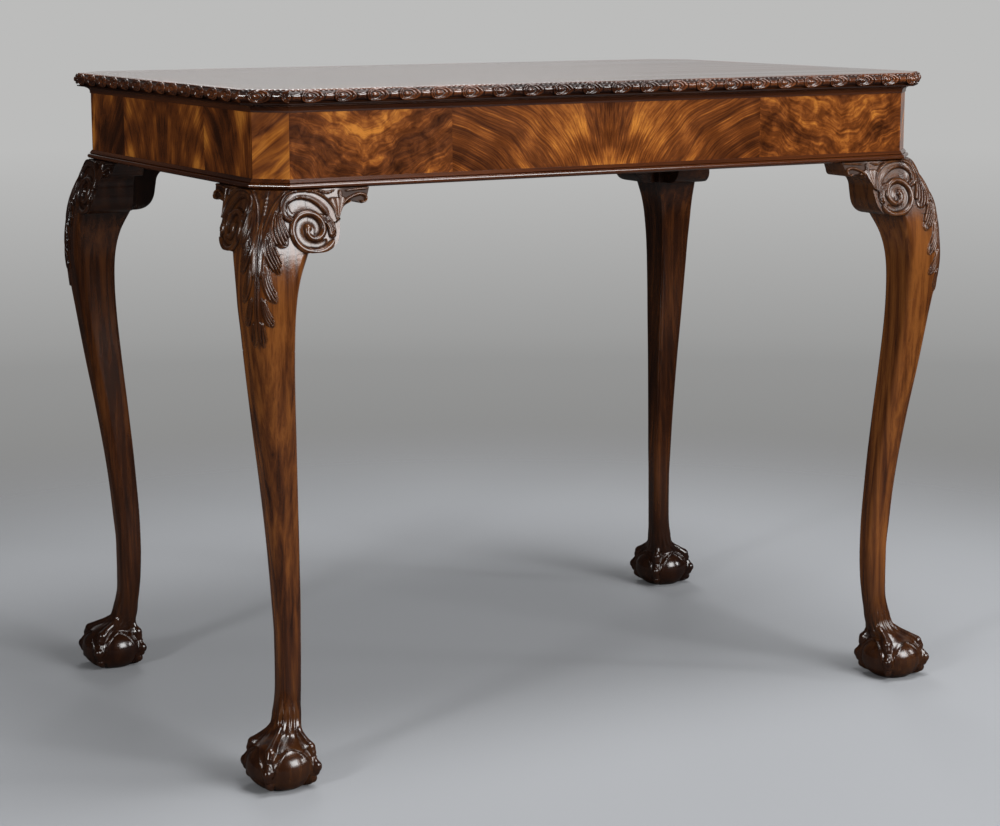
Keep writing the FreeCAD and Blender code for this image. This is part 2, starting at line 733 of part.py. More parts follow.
leg_body = doc.addObject("PartDesign::Body", "leg_body")
cabriole_sections = []
for spot, (height, outer, inner, side_round, inner_round, outer_round) in enumerate(CABRIOLE_SHARES):
    formulas = ["(%s*%r)" % (blank, share) for share in (outer, inner, side_round, inner_round, outer_round)]
    cabriole_sections.append(body_sketch(
        leg_body, "cabriole_section_%d" % spot, "XY_Plane",
        rounded_square(*formulas), "%s*%r" % (knee_height, height)))
cabriole = leg_body.newObject("PartDesign::AdditiveLoft", "cabriole")
cabriole.Profile = cabriole_sections[0]
cabriole.Sections = cabriole_sections[1:]
cabriole.Ruled = False
doc.recompute()

knee_sections = []
for spot, (height, swell, outer_round) in enumerate(KNEE_SHARES):
    rise = "%s+ear_height*%r" % (knee_height, height)
    knee_sections.append(body_sketch(
        leg_body, "knee_section_%d" % spot, "XY_Plane",
        knee_section("(-%s)" % knee_swell_at(swell), "(%s*%r)" % (blank, outer_round)), rise))
knee = leg_body.newObject("PartDesign::AdditiveLoft", "knee")
knee.Profile = knee_sections[0]
knee.Sections = knee_sections[1:]
knee.Ruled = False
doc.recompute()

post_cut = "(cant_setback+veneer_thickness*%r)" % MITRE_SHARE
post_plan = body_sketch(leg_body, "post_plan", "XY_Plane", [
    (post_cut, "veneer_thickness"),
    ("stile_inner", "veneer_thickness"),
    ("stile_inner", "stile_inner"),
    ("veneer_thickness", "stile_inner"),
    ("veneer_thickness", post_cut),
], rail_bottom)
post = leg_body.newObject("PartDesign::Pad", "post")
post.Profile = post_plan
bind(post, Length="frieze_height")
doc.recompute()

# Ball-and-claw foot. Shares are of the ball's radius: a claw's distance from the
# ball's axis, its height over the floor and its radius, from the ankle to the tip.

CLAW_SHARES = (
    (0.20, 1.82, 0.070),
    (0.30, 1.56, 0.120),
    (0.46, 1.28, 0.150),
    (0.74, 1.04, 0.175),
    (0.82, 0.81, 0.145),
    (0.95, 0.61, 0.168),
    (0.93, 0.43, 0.140),
    (0.86, 0.26, 0.120),
    (0.74, 0.12, 0.060),
)
# How far each of those places follows the ankle, which stands in from the ball.
ANKLE_SHARES = (1.0, 0.85, 0.5, 0.18, 0.05, 0.0, 0.0, 0.0, 0.0)
ANKLE_OFFSET_SHARE = 0.53


def add_claw(name, angle):
    """A claw down the ball, in the direction of angle from the corner's x."""
    radius = size("ball_radius")
    setback = size("ball_setback")
    along = FreeCAD.Vector(math.cos(math.radians(angle)), math.sin(math.radians(angle)), 0)
    across = FreeCAD.Vector(-along.y, along.x, 0)
    inward = FreeCAD.Vector(1, 1, 0).normalize()
    centres = []
    for (reach, rise, thick), follow in zip(CLAW_SHARES, ANKLE_SHARES):
        centre = FreeCAD.Vector(setback, setback, rise * radius)
        centre += along * (reach * radius)
        centre += inward * (follow * ANKLE_OFFSET_SHARE * radius)
        centres.append(centre)
    rings = []
    for spot, centre in enumerate(centres):
        before = centres[max(spot - 1, 0)]
        after = centres[min(spot + 1, len(centres) - 1)]
        tangent = after - before
        ring = doc.addObject("Part::Circle", "%s_ring_%d" % (name, spot))
        turn = FreeCAD.Rotation(across, FreeCAD.Vector(), tangent, "ZXY")
        ring.Placement = FreeCAD.Placement(centre, turn)
        bind(ring, Radius="ball_radius*%r" % CLAW_SHARES[spot][2])
        rings.append(ring)
    claw = doc.addObject("Part::Loft", name)
    claw.Sections = rings
    claw.Solid = True
    claw.Ruled = False
    return claw


ball = doc.addObject("Part::Ellipsoid", "ball")
bind(ball, Radius1="ball_height", Radius2="ball_radius", Radius3="ball_radius")
bind_place(ball, "ball_setback", "ball_setback", "ball_rise")
claws = [add_claw("claw_%d" % number, 45 + 90 * number) for number in range(4)]
foot = add_group("Part::MultiFuse", "foot", [ball] + claws)
floor_cut = add_box(
    "floor_cut", ("-ball_radius*2", "-ball_radius*2", "-ball_radius*2"),
    ("ball_radius*4", "ball_radius*4", "0"))
foot_on_floor = cut_away("foot_on_floor", foot, [floor_cut])
doc.recompute()

# Volute: a flat scroll on the slope of the knee. It lies half on the leg and half
# on the ear bracket, so each piece takes its own side of the joint.

slope = math.atan2(size("knee_swell") - size("knee_top_swell"), size("ear_height"))
VOLUTE_HEIGHT_SHARE = 0.34
SCROLL_HEIGHT_SHARE = 0.49
SCROLL_SWEEP = 200


def on_slope(height_share, lift=0.0):
    """A frame on the knee's slope, with z out of it and y up along it."""
    height = size(knee_height) + size("ear_height") * height_share
    swell = size("knee_top_swell") + (size("knee_swell") - size("knee_top_swell")) * (1 - height_share)
    out = FreeCAD.Vector(0, -math.cos(slope), math.sin(slope))
    place = FreeCAD.Vector(size("stile_inner") + size("volute_offset"), -swell, height)
    turn = FreeCAD.Rotation(FreeCAD.Vector(1, 0, 0), FreeCAD.Vector(), out, "ZXY")
    return FreeCAD.Placement(place + out * lift, turn)


def add_volute():
    """The scroll's rim, hollow and eye, and the arched scroll over it."""
    depth = "(volute_relief+knee_swell/2)"
    disc = add_cylinder("volute_disc", "volute_radius", depth, "-knee_swell/2")
    recess = add_cylinder(
        "volute_recess", "volute_radius-volute_rim", "volute_hollow+overrun",
        "volute_relief-volute_hollow")
    eye = add_cylinder("volute_eye", "volute_eye", depth, "-knee_swell/2")
    face = add_group("Part::MultiFuse", "volute_face", [cut_away("volute_dish", disc, [recess]), eye])
    face.Placement = on_slope(VOLUTE_HEIGHT_SHARE)
    arch = doc.addObject("Part::Torus", "scroll_arch")
    bind(arch, Radius1="scroll_radius-scroll_thick", Radius2="scroll_thick")
    arch.Angle3 = SCROLL_SWEEP
    start = turned((180 - SCROLL_SWEEP) * HALF_SHARE)
    arch.Placement = on_slope(SCROLL_HEIGHT_SHARE) * FreeCAD.Placement(FreeCAD.Vector(), start)
    return add_group("Part::MultiFuse", "volute", [face, arch])


volute = add_volute()
above = add_box(
    "under_frieze", ("-overrun*2", "-overrun*2", "0"), ("stile_inner", "overrun*2", rail_bottom))
leg_volute = add_group("Part::MultiCommon", "leg_volute", [volute, above])
leg_volute_mirror = doc.addObject("Part::Mirroring", "leg_volute_mirror")
leg_volute_mirror.Source = leg_volute
leg_volute_mirror.Base = FreeCAD.Vector(0, 0, 0)
leg_volute_mirror.Normal = FreeCAD.Vector(1, -1, 0)

mortises = []
for which in (0, 1):
    low = ["stile_inner-tenon_length-end_gap", "veneer_thickness+tenon_setback-fit_gap"]
    high = ["stile_inner+overrun", "veneer_thickness+tenon_setback+tenon_thickness+fit_gap"]
    if which == 1:
        low.reverse()
        high.reverse()
    mortises.append(add_box(
        "mortise_%d" % which,
        low + [rail_bottom + "+tenon_shoulder-fit_gap"],
        high + [board_underside + "-tenon_shoulder+fit_gap"]))
leg_whole = add_group(
    "Part::MultiFuse", "leg_whole", [leg_body, foot_on_floor, leg_volute, leg_volute_mirror])
leg_mortises = add_group("Part::Compound", "leg_mortises", mortises)
doc.recompute()
for number, corner in enumerate(CORNERS):
    leg = cut_away("leg_" + corner, leg_whole, [leg_mortises])
    leg.Placement = corner_place(number)
    keep("leg_" + corner, leg)


# Ear brackets. Shares are of the ear's reach along the rail and of the height
# between the ledge and the frieze. A third share bows the edge that starts there.

EAR_SHARES = (
    (0.00, 0.000, 0.0),
    (0.11, 0.000, 0.105),
    (0.46, 0.370, 0.0),
    (0.48, 0.500, -0.04),
    (0.63, 0.750, 0.0),
    (0.72, 0.790, -0.012),
    (0.84, 0.745, 0.035),
    (0.95, 0.850, 0.0),
    (1.00, 1.000, 0.0),
    (0.00, 1.000, 0.0),
)


def ear_point(along, up, bow):
    """A corner of the ear's outline, and how its next edge bows."""
    point = ["stile_inner+ear_reach*%r" % along, "%s+ear_height*%r" % (knee_height, up)]
    if bow:
        point.append("ear_reach*%r" % bow)
    return tuple(point)


def add_ear():
    """The ear that lies along x: its outline, cut back along the knee's slope."""
    body = doc.addObject("PartDesign::Body", "ear_body")
    outline = body_sketch(
        body, "ear_outline", "XZ_Plane", [ear_point(*shares) for shares in EAR_SHARES], "-ear_inner")
    pad = body.newObject("PartDesign::Pad", "ear_pad")
    pad.Profile = outline
    bind(pad, Length="ear_inner+knee_swell")
    doc.recompute()
    points = []
    for height, swell, outer_round in KNEE_SHARES:
        points.append(("-%s" % knee_swell_at(swell), "%s+ear_height*%r" % (knee_height, height)))
    points.append(("-knee_swell-overrun", rail_bottom))
    points.append(("-knee_swell-overrun", knee_height))
    trim = body_sketch(body, "ear_slope", "YZ_Plane", points)
    pocket = body.newObject("PartDesign::Pocket", "ear_trim")
    pocket.Profile = trim
    pocket.Type = "ThroughAll"
    pocket.Reversed = True
    doc.recompute()
    return body


ear_body = add_ear()
beside = add_box(
    "beside_leg", ("stile_inner", "-overrun*2", "0"), ("stile_inner+ear_reach", "overrun*2", rail_bottom))
ear_volute = add_group("Part::MultiCommon", "ear_volute", [volute, beside])
ear_whole = add_group("Part::MultiFuse", "ear_whole", [ear_body, ear_volute])
ear_mirror = doc.addObject("Part::Mirroring", "ear_mirror")
ear_mirror.Source = ear_whole
ear_mirror.Base = FreeCAD.Vector(0, 0, 0)
ear_mirror.Normal = FreeCAD.Vector(1, -1, 0)
doc.recompute()
for number, corner in enumerate(CORNERS):
    for which, source in enumerate((ear_whole, ear_mirror)):
        side = SIDES[number] if which == 0 else SIDES[number - 1]
        name = "ear_bracket_%s_%s" % (corner, side)
        local = corner_place(number).inverse() * ear_screw_place(number, which)
        hole = screw_hole(name + "_hole", "ear_screw_length", local)
        ear = cut_away(name, source, [hole])
        ear.Placement = corner_place(number)
        keep(name, ear)


# Check every object, then write the nodes.

doc.recompute()
faults = []
for piece in doc.Objects:
    if "Invalid" in piece.State or "Error" in piece.State:
        faults.append("%s is %s" % (piece.Name, piece.State))
for name, piece in nodes.items():
    if piece.Shape.isNull() or not piece.Shape.isValid() or not piece.Shape.Solids:
        faults.append("%s has no valid solid" % name)
if faults:
    raise RuntimeError("; ".join(faults))

for name, piece in sorted(nodes.items()):
    piece.Shape.exportStep("parts/%s.step" % name)
    print("%-36s %2d solids %12.0f mm3" % (name, len(piece.Shape.Solids), piece.Shape.Volume))
print("%d nodes" % len(nodes))
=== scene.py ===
# %% [markdown]
# # An occasional table with carved cabriole legs
# The solid model gives every piece its place. This lesson dresses it: first the
# room and the camera, then the woods, and then the carved pieces one by one.

# %% Load the frame
import math

import bpy
import numpy as np
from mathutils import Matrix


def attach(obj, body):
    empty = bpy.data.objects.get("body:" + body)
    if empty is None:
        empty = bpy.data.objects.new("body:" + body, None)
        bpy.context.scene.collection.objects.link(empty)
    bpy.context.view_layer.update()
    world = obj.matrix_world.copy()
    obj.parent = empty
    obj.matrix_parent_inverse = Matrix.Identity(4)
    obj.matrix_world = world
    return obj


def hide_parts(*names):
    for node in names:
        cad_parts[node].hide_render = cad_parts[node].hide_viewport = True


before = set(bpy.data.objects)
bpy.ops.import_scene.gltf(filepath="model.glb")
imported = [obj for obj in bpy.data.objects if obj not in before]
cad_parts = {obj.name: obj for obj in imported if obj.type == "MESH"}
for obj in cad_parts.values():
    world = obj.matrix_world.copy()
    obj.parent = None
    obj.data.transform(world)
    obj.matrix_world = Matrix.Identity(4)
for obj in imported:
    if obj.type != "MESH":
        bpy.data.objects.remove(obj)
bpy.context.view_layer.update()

# %% [markdown]
# Blender works in metres, and a joiner thinks in millimetres, so shapes are
# worked out in millimetres and turned into metres when they become a mesh.

# %% Measures of the table
MM = 0.001
HALF_LENGTH, HALF_DEPTH = 435.5, 278.0  # of the frame, to the frieze's faces
TABLE_HEIGHT, BOARD_UNDERSIDE, RAIL_BOTTOM = 760.0, 744.0, 654.5
EAR_HEIGHT, STILE_INNER, EAR_INNER = 65.5, 44.0, 33.0
LEDGE = RAIL_BOTTOM - EAR_HEIGHT
KNEE_SWELL, KNEE_TOP_SWELL = 22.0, 4.5
BLANK = STILE_INNER + KNEE_SWELL
CANT_SETBACK = 29.7
CORNERS = ("front_left", "front_right", "back_right", "back_left")
SIDES = ("front", "right", "back", "left")
print("ledge of the knee at", LEDGE, "mm")

# %% [markdown]
# Operators act on all that is selected, so everything is deselected first. A
# carved piece starts as a flat grid, like a sheet of rubber, and its points are
# then laid where the carver would have left the wood. That keeps rows and columns
# in order, so that a pattern can follow them.


# %% Helpers for sheets
def deselect():
    """Leave edit mode and select nothing."""
    if bpy.context.object and bpy.context.object.mode != "OBJECT":
        bpy.ops.object.mode_set(mode="OBJECT")
    bpy.ops.object.select_all(action="DESELECT")


def add_sheet(name, points, stain_and_shade):
    """A grid whose points, rows by columns in millimetres, are laid in space."""
    rows, columns = points.shape[:2]
    deselect()
    bpy.ops.mesh.primitive_grid_add(x_subdivisions=columns - 1, y_subdivisions=rows - 1, size=1)
    piece = bpy.context.object
    piece.name = piece.data.name = name
    piece.data.vertices.foreach_set("co", (points * MM).astype(np.float32).ravel())
    # Each point carries its stain and its painted shade.
    layer = piece.data.attributes.new("stain_and_shade", "FLOAT", "POINT")
    layer.data.foreach_set("value", stain_and_shade.astype(np.float32).ravel())
    piece.data.update()
    return piece


def close_up(piece):
    """Sew the sheet's edges together, cap its open ends and face it outwards."""
    bpy.ops.object.mode_set(mode="EDIT")
    bpy.ops.mesh.select_all(action="SELECT")
    bpy.ops.mesh.remove_doubles(threshold=0.00002)
    bpy.ops.mesh.fill_holes(sides=0)
    bpy.ops.mesh.select_all(action="SELECT")
    bpy.ops.mesh.normals_make_consistent(inside=False)
    bpy.ops.object.mode_set(mode="OBJECT")


def carved_piece(name, points, stain_and_shade, node, material):
    """Make, smooth, dress and seat a carved piece that stands for a solid node."""
    piece = add_sheet(name, points, stain_and_shade)
    close_up(piece)
    deselect()
    piece.select_set(True)
    bpy.context.view_layer.objects.active = piece
    bpy.ops.object.transform_apply(location=True, rotation=True, scale=True)
    bpy.ops.object.shade_smooth_by_angle(angle=math.radians(50))
    piece.data.materials.append(material)
    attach(piece, "root")
    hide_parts(node)
    triangles = sum(len(face.vertices) - 2 for face in piece.data.polygons)
    print(piece.name, triangles, "triangles")


# %% [markdown]
# The camera stands where the photographer stood: a little left of the front
# corner and 87 cm up, looking slightly down through a long lens.

# %% Camera
camera_data = bpy.data.cameras.new("camera")
camera_data.lens = 84.24
camera_data.sensor_width = 36
camera = bpy.data.objects.new("camera", camera_data)
camera.location = (-1.4188, -2.5346, 0.8735)
camera.rotation_euler = (math.radians(90 - 10.53), math.radians(0.13), math.radians(-29.31))
bpy.context.scene.collection.objects.link(camera)
bpy.context.scene.camera = camera
print("camera", tuple(camera.location))

# %% [markdown]
# ## Node trees
# Materials and the world are trees of nodes. What a node gives out is a signal
# here. Arithmetic with signals adds math nodes, so a material reads like a formula.


# %% Helpers for node trees
def operator(operation):
    """A method that puts one math node on the signal's tree."""
    return lambda first, *others: first.tree.sum(operation, first, *others)


class Signal:
    """What a node gives out: a number or a colour that varies from place to place."""

    def __init__(self, tree, socket):
        self.tree, self.socket = tree, socket

    __add__ = __radd__ = operator("ADD")
    __mul__ = __rmul__ = operator("MULTIPLY")
    __sub__ = operator("SUBTRACT")
    __truediv__ = operator("DIVIDE")
    __pow__ = operator("POWER")
    __gt__ = operator("GREATER_THAN")
    __abs__ = operator("ABSOLUTE")
    at_least = operator("MAXIMUM")

    def __rsub__(self, other):
        return self.tree.sum("SUBTRACT", other, self)


class Tree:
    """The nodes of a new material or world, with short ways to add and join them."""

    def __init__(self, name, owners="materials"):
        self.owner = getattr(bpy.data, owners).new(name)
        self.owner.use_nodes = True
        self.nodes, self.links = self.owner.node_tree.nodes, self.owner.node_tree.links

    def put(self, node, inputs):
        """Set a node's inputs by name or number, or join signals to them."""
        for key, value in inputs.items():
            socket = node.inputs[key.replace("_", " ") if isinstance(key, str) else key]
            if isinstance(value, Signal):
                self.links.new(value.socket, socket)
            else:
                socket.default_value = value

    def add(self, kind, output, settings=(), **inputs):
        """Add a node and give one of its outputs."""
        node = self.nodes.new("ShaderNode" + kind)
        for key, value in dict(settings).items():
            setattr(node, key, value)
        self.put(node, inputs)
        return Signal(self, node.outputs[output])

    def finish(self, shader="Principled BSDF", **inputs):
        """Set the shader's own inputs, and give the finished material."""
        self.put(self.nodes[shader], inputs)
        return self.owner

    def sum(self, operation, *values):
        """A sum on up to three numbers or signals."""
        node = self.nodes.new("ShaderNodeMath")
        node.operation = operation
        self.put(node, dict(enumerate(values)))
        return Signal(self, node.outputs[0])

    def mix(self, share, first, second, kind="RGBA"):
        """Mix two colours, or two numbers when the kind is FLOAT."""
        node = self.nodes.new("ShaderNodeMix")
        node.data_type = kind
        inputs, output = ((0, 6, 7), 2) if kind == "RGBA" else ((0, 2, 3), 0)
        self.put(node, dict(zip(inputs, (share, first, second))))
        return Signal(self, node.outputs[output])

    def range(self, value, low, high, new_low, new_high):
        """Stretch a number from one range to another."""
        return self.add("MapRange", "Result", Value=value, From_Min=low, From_Max=high,
                        To_Min=new_low, To_Max=new_high)

    def axis(self, letter, space="Object"):
        """One coordinate of a place."""
        return self.add("SeparateXYZ", letter, Vector=self.add("TexCoord", space))

    def noise(self, vector, scale, detail, roughness=0.55, distortion=0.0):
        """A noise between 0 and 1."""
        return self.add("TexNoise", "Fac", Vector=vector, Scale=scale, Detail=detail,
                        Roughness=roughness, Distortion=distortion)

    def place(self, scale, turn=(0, 0, 0), vector=None):
        """Object coordinates, or another vector, turned and stretched."""
        vector = vector or self.add("TexCoord", "Object")
        return self.add("Mapping", "Vector", Vector=vector, Scale=scale, Rotation=turn)

    def streaks(self, stretch, detail, roughness=0.55, distortion=0.0):
        """A noise that is stretched along the grain."""
        return self.noise(self.place(stretch), 1.0, detail, roughness, distortion)

    def ramp(self, value, stops):
        """Turn a number into a colour by stops of (place, colour)."""
        colour = self.add("ValToRGB", "Color", Fac=value)
        elements = colour.socket.node.color_ramp.elements
        while len(elements) < len(stops):
            elements.new(0.5)
        for element, (place, shade) in zip(elements, stops):
            element.position = place
            element.color = (*shade, 1)
        return colour

    def bump(self, height, distance, strength):
        """Raise the surface by a height map, in metres."""
        return self.add("Bump", "Normal", Height=height, Distance=distance, Strength=strength)


print("helpers for materials and the world are ready")

# %% [markdown]
# ## The studio
# The studio is a pale sweep of paper. The floor round the table fades into a
# backdrop that gets lighter upwards. Polished wood mirrors its surroundings, so
# what reflections see is set apart: a pale wall behind the table, which brightens
# the top, and a dim room elsewhere, which keeps the upright faces deep in colour.
# Five soft lamps give the shine on the carving: a large one in front, one overhead,
# narrow ones at the left and right, and one behind, so that the back isn't black.

# %% Floor
deselect()
bpy.ops.mesh.primitive_plane_add(size=12, location=(0, 0, -0.0005))
floor = bpy.context.object
floor.name = "floor"
paper = Tree("paper")
tone = paper.mix(paper.add("LightPath", "Is Glossy Ray"), (0.385, 0.396, 0.416, 1), (0.07, 0.07, 0.07, 1))
paper.finish(Base_Color=tone, Roughness=0.95, Specular_IOR_Level=0.1)
radius = paper.add("VectorMath", "Value", {"operation": "LENGTH"}, Vector=paper.add("TexCoord", "Object"))
fade = paper.add("MapRange", "Result", {"interpolation_type": "SMOOTHSTEP"}, Value=radius,
                 From_Min=0.85, From_Max=1.75)
shader = Signal(paper, paper.nodes["Principled BSDF"].outputs[0])
blend = paper.nodes.new("ShaderNodeMixShader")
paper.put(blend, {0: fade, 1: shader, 2: paper.add("BsdfTransparent", 0)})
paper.finish("Material Output", Surface=Signal(paper, blend.outputs[0]))
floor.data.materials.append(paper.owner)
print("floor", tuple(floor.dimensions))

# %% Backdrop
sky = Tree("studio", "worlds")
bpy.context.scene.world = sky.owner


def by_direction(axis, low, high, new_low, new_high):
    """A level that runs from one value to another over part of the sky."""
    return sky.range(sky.axis(axis, "Generated"), low, high, new_low, new_high)


def chosen(share, first, second):
    """The first level where the share is 0, and the second where it is 1."""
    return sky.mix(share, first, second, "FLOAT")


wall = chosen(by_direction("X", -0.15, 0.2, 0.0, 1.0), 0.02, by_direction("Y", 0.1, 0.75, 0.02, 0.54))
low_wall = chosen(by_direction("X", 0.55, 0.72, 0.0, 1.0), 0.02, by_direction("Y", 0.3, 0.6, 0.02, 0.36))
mirrored = chosen(by_direction("Z", -0.02, 0.02, 0.0, 1.0), low_wall, wall)
level = chosen(sky.add("LightPath", "Is Glossy Ray"), 0.17, mirrored)
sweep = chosen(by_direction("Z", -0.16, -0.07, 0.0, 1.0), by_direction("Z", -0.24, -0.15, 0.215, 0.31), 0.505)
level = chosen(sky.add("LightPath", "Is Camera Ray"), level, sweep)
sky.finish("Background", Strength=level, Color=(0.995, 0.995, 0.985, 1))
bpy.context.scene.view_settings.view_transform = "Standard"
print("backdrop of", len(sky.nodes), "nodes")

# %% Lamps
LAMPS = (
    # name, place, target, width and height in metres, power in watts
    ("overhead", (0.3, -0.6, 2.8), (0, 0, 0.4), 1.2, 1.0, 42),
    ("front", (1.15, -3.3, 1.8), (-0.1, 0, 0.5), 1.7, 1.7, 90),
    ("left", (-3.0, -1.5, 1.45), (-0.2, 0, 0.45), 0.4, 0.9, 30),
    ("right", (2.6, -1.9, 1.3), (0.2, 0, 0.5), 0.3, 0.9, 14),
    ("back", (1.2, 3.0, 2.4), (0, 0, 0.45), 1.6, 1.2, 32),
)
for name, place, target, width, height, power in LAMPS:
    lamp_data = bpy.data.lights.new(name, "AREA")
    lamp_data.shape = "RECTANGLE"
    lamp_data.size, lamp_data.size_y, lamp_data.energy = width, height, power
    lamp = bpy.data.objects.new(name, lamp_data)
    lamp.location = place
    away = np.subtract(target, place)
    lamp.rotation_euler = (
        math.acos(-away[2] / np.linalg.norm(away)), 0, math.atan2(away[1], away[0]) - math.pi / 2)
    bpy.context.scene.collection.objects.link(lamp)
print("lamps", len(bpy.data.lights))

# %% [markdown]
# ## Carved wood
# All the woods are built the same way: a noise stretched along the grain, a colour
# ramp that turns it into light and dark streaks, a finer noise for the pores, and
# a polish on top. The legs and ears are dense dark mahogany with the grain up the
# leg. The back legs get a darker copy of the wood, which is painted shade. On the
# front ones, painted light makes the wood a little lighter below the knee. Polish has
# settled in the recesses, so they are duller. Each carved piece carries a value on its
# points that holds the stain of the carving and painted shade in its recesses, and the
# wood is darker and duller where it is high.


# %% Carved wood
def carved_wood(name, stops, grain, roughness=0.17, shine=0.78, glow=0.0):
    """Dark polished wood with painted shade in its recesses; grain is the stretch of the noise.

    With glow, painted light makes the wood lighter below the knee.
    """
    tree = Tree(name)
    height = tree.axis("Z")
    pores = tree.streaks([7 * stretch for stretch in grain], 3, 0.7)
    patches = tree.streaks((6, 6, 3), 2, 0.5)
    value = patches * 0.35 + tree.streaks(grain, 5, 0.6, 0.35) * 0.8
    # Painted light: the wood gets lighter up the leg, towards the knee.
    if glow:
        value = value + tree.range(height, 0.30, 0.52, 0.0, glow)
    colour = tree.ramp(value, stops)
    colour = tree.mix(tree.range(pores, 0.5, 0.75, 0, 0.4), colour, (0.012, 0.004, 0.002, 1))
    # The points carry the stain and painted shade; depth is how much darker they make the wood.
    stain_and_shade = tree.add("Attribute", "Fac", {"attribute_name": "stain_and_shade"})
    depth = tree.range(stain_and_shade, 0.05, 0.9, 0, 0.86)
    # Painted shade darkens the recesses. The feet are darkened nearly to black towards the floor, and this fades out
    # above the ankle.
    shade = depth.at_least(tree.range(height, 0.055, 0.17, 0.78, 0.0))
    # Polish shines on the ridges, and is dull where it could not be rubbed.
    unrubbed = tree.range(stain_and_shade, 0.64, 0.98, 0.0, 1.0)
    return tree.finish(
        Base_Color=tree.mix(shade, colour, (0.008, 0.0025, 0.0015, 1)),
        Roughness=patches * 0.16 + depth * 0.15 + unrubbed * 0.3 + (roughness - 0.08),
        Specular_IOR_Level=unrubbed * (0.1 - shine) + shine,
        Normal=tree.bump(tree.streaks((300, 300, 300), 5, 0.68), 0.00022, 0.55))


LEG_STOPS = (
    (0.38, (0.024, 0.0065, 0.0022)),
    (0.49, (0.072, 0.0200, 0.0050)),
    (0.58, (0.135, 0.0400, 0.0085)),
    (0.70, (0.230, 0.0750, 0.0150)),
)
# Painted shade: the back legs take a darker copy of the leg wood.
SHADED_LEG_STOPS = (
    (0.38, (0.014, 0.0038, 0.0013)),
    (0.50, (0.034, 0.0090, 0.0023)),
    (0.60, (0.064, 0.0180, 0.0038)),
    (0.72, (0.110, 0.0330, 0.0070)),
)
EDGE_STOPS = (
    (0.36, (0.016, 0.0045, 0.002)),
    (0.50, (0.055, 0.0150, 0.005)),
    (0.62, (0.130, 0.0360, 0.010)),
    (0.72, (0.190, 0.0550, 0.014)),
)
leg_wood = carved_wood("leg_wood", LEG_STOPS, (120, 120, 5), glow=0.06)
shaded_leg_wood = carved_wood("shaded_leg_wood", SHADED_LEG_STOPS, (120, 120, 5))
# The front legs take the wood with painted light below the knee, the back ones the copy with painted shade.
leg_woods = (leg_wood, leg_wood, shaded_leg_wood, shaded_leg_wood)
edge_woods = (carved_wood("edge_wood_long", EDGE_STOPS, (9, 90, 90), 0.15, 0.85),
              carved_wood("edge_wood_short", EDGE_STOPS, (90, 9, 90), 0.15, 0.85))
print("carved woods", [wood.name for wood in leg_woods + edge_woods])

# %% [markdown]
# ## Plain polished wood
# The top boards and the run mouldings are straight-grained, with the grain along
# their length. Unfinished pine or oak is used inside, where nobody looks.


# %% Plain woods
def straight_wood(name, stops, grain, roughness, shine, pore_share=0.35):
    """Straight-grained wood with fine pores."""
    tree = Tree(name)
    broad = tree.streaks([0.22 * stretch for stretch in grain], 2, 0.5, 0.4)
    pores = tree.streaks([6 * stretch for stretch in grain], 2, 0.7)
    colour = tree.ramp(broad * 0.5 + tree.streaks(grain, 6, 0.62, 0.25) * 0.55, stops)
    return tree.finish(
        Base_Color=tree.mix(tree.range(pores, 0.52, 0.8, 0, pore_share), colour, (0.010, 0.004, 0.002, 1)),
        Roughness=tree.range(broad, 0.2, 0.8, roughness - 0.04, roughness + 0.05),
        Specular_IOR_Level=shine,
        Normal=tree.bump(pores, 0.00001, 0.3))


def both_ways(name, stops, fineness, *finish):
    """A plain wood with its grain along the long sides, and one along the short ones."""
    return (straight_wood(name + "_long", stops, (4, fineness, fineness), *finish),
            straight_wood(name + "_short", stops, (fineness, 4, fineness), *finish))


TOP_STOPS = (
    (0.38, (0.034, 0.0100, 0.004)),
    (0.50, (0.055, 0.0170, 0.006)),
    (0.64, (0.085, 0.0270, 0.009)),
)
# Painted shade: the cove is the same wood as the bead, darker because it is a shaded recess.
SHADED_COVE_STOPS = (
    (0.38, (0.016, 0.0040, 0.0015)),
    (0.50, (0.042, 0.0105, 0.0030)),
    (0.64, (0.085, 0.0230, 0.0058)),
)
BEAD_STOPS = (
    (0.38, (0.024, 0.0060, 0.0022)),
    (0.50, (0.062, 0.0160, 0.0045)),
    (0.64, (0.115, 0.0320, 0.0080)),
)
INSIDE_STOPS = (
    (0.36, (0.16, 0.085, 0.04)),
    (0.50, (0.26, 0.15, 0.075)),
    (0.66, (0.36, 0.22, 0.12)),
)
top_wood = straight_wood("top_wood", TOP_STOPS, (3, 110, 60), 0.15, 0.6)
# The cove's wood carries painted shade.
shaded_cove_woods = both_ways("shaded_cove_wood", SHADED_COVE_STOPS, 120, 0.22, 0.3)
bead_woods = both_ways("bead_wood", BEAD_STOPS, 120, 0.15, 0.95)
inside_woods = both_ways("inside", INSIDE_STOPS, 90, 0.6, 0.3, 0.2)
print("plain woods", [wood.name for wood in (top_wood, *shaded_cove_woods, *bead_woods, *inside_woods)])

# %% [markdown]
# ## Flame veneer
# The frieze is covered with leaves cut one after another from the crotch of a
# tree, where the trunk forks. Each pair is opened like a book, so the flame on one
# leaf mirrors that on the next. The material therefore measures how far a point
# is from the nearest fold of the book, and paints streaks that sweep down to it.
# The streaks are steep at the fold and lie flatter further out. On the long sides
# the outer leaves show slanting, cloudy streaks of their own.

# %% Flame veneer
FLAME_SHINE = 0.2


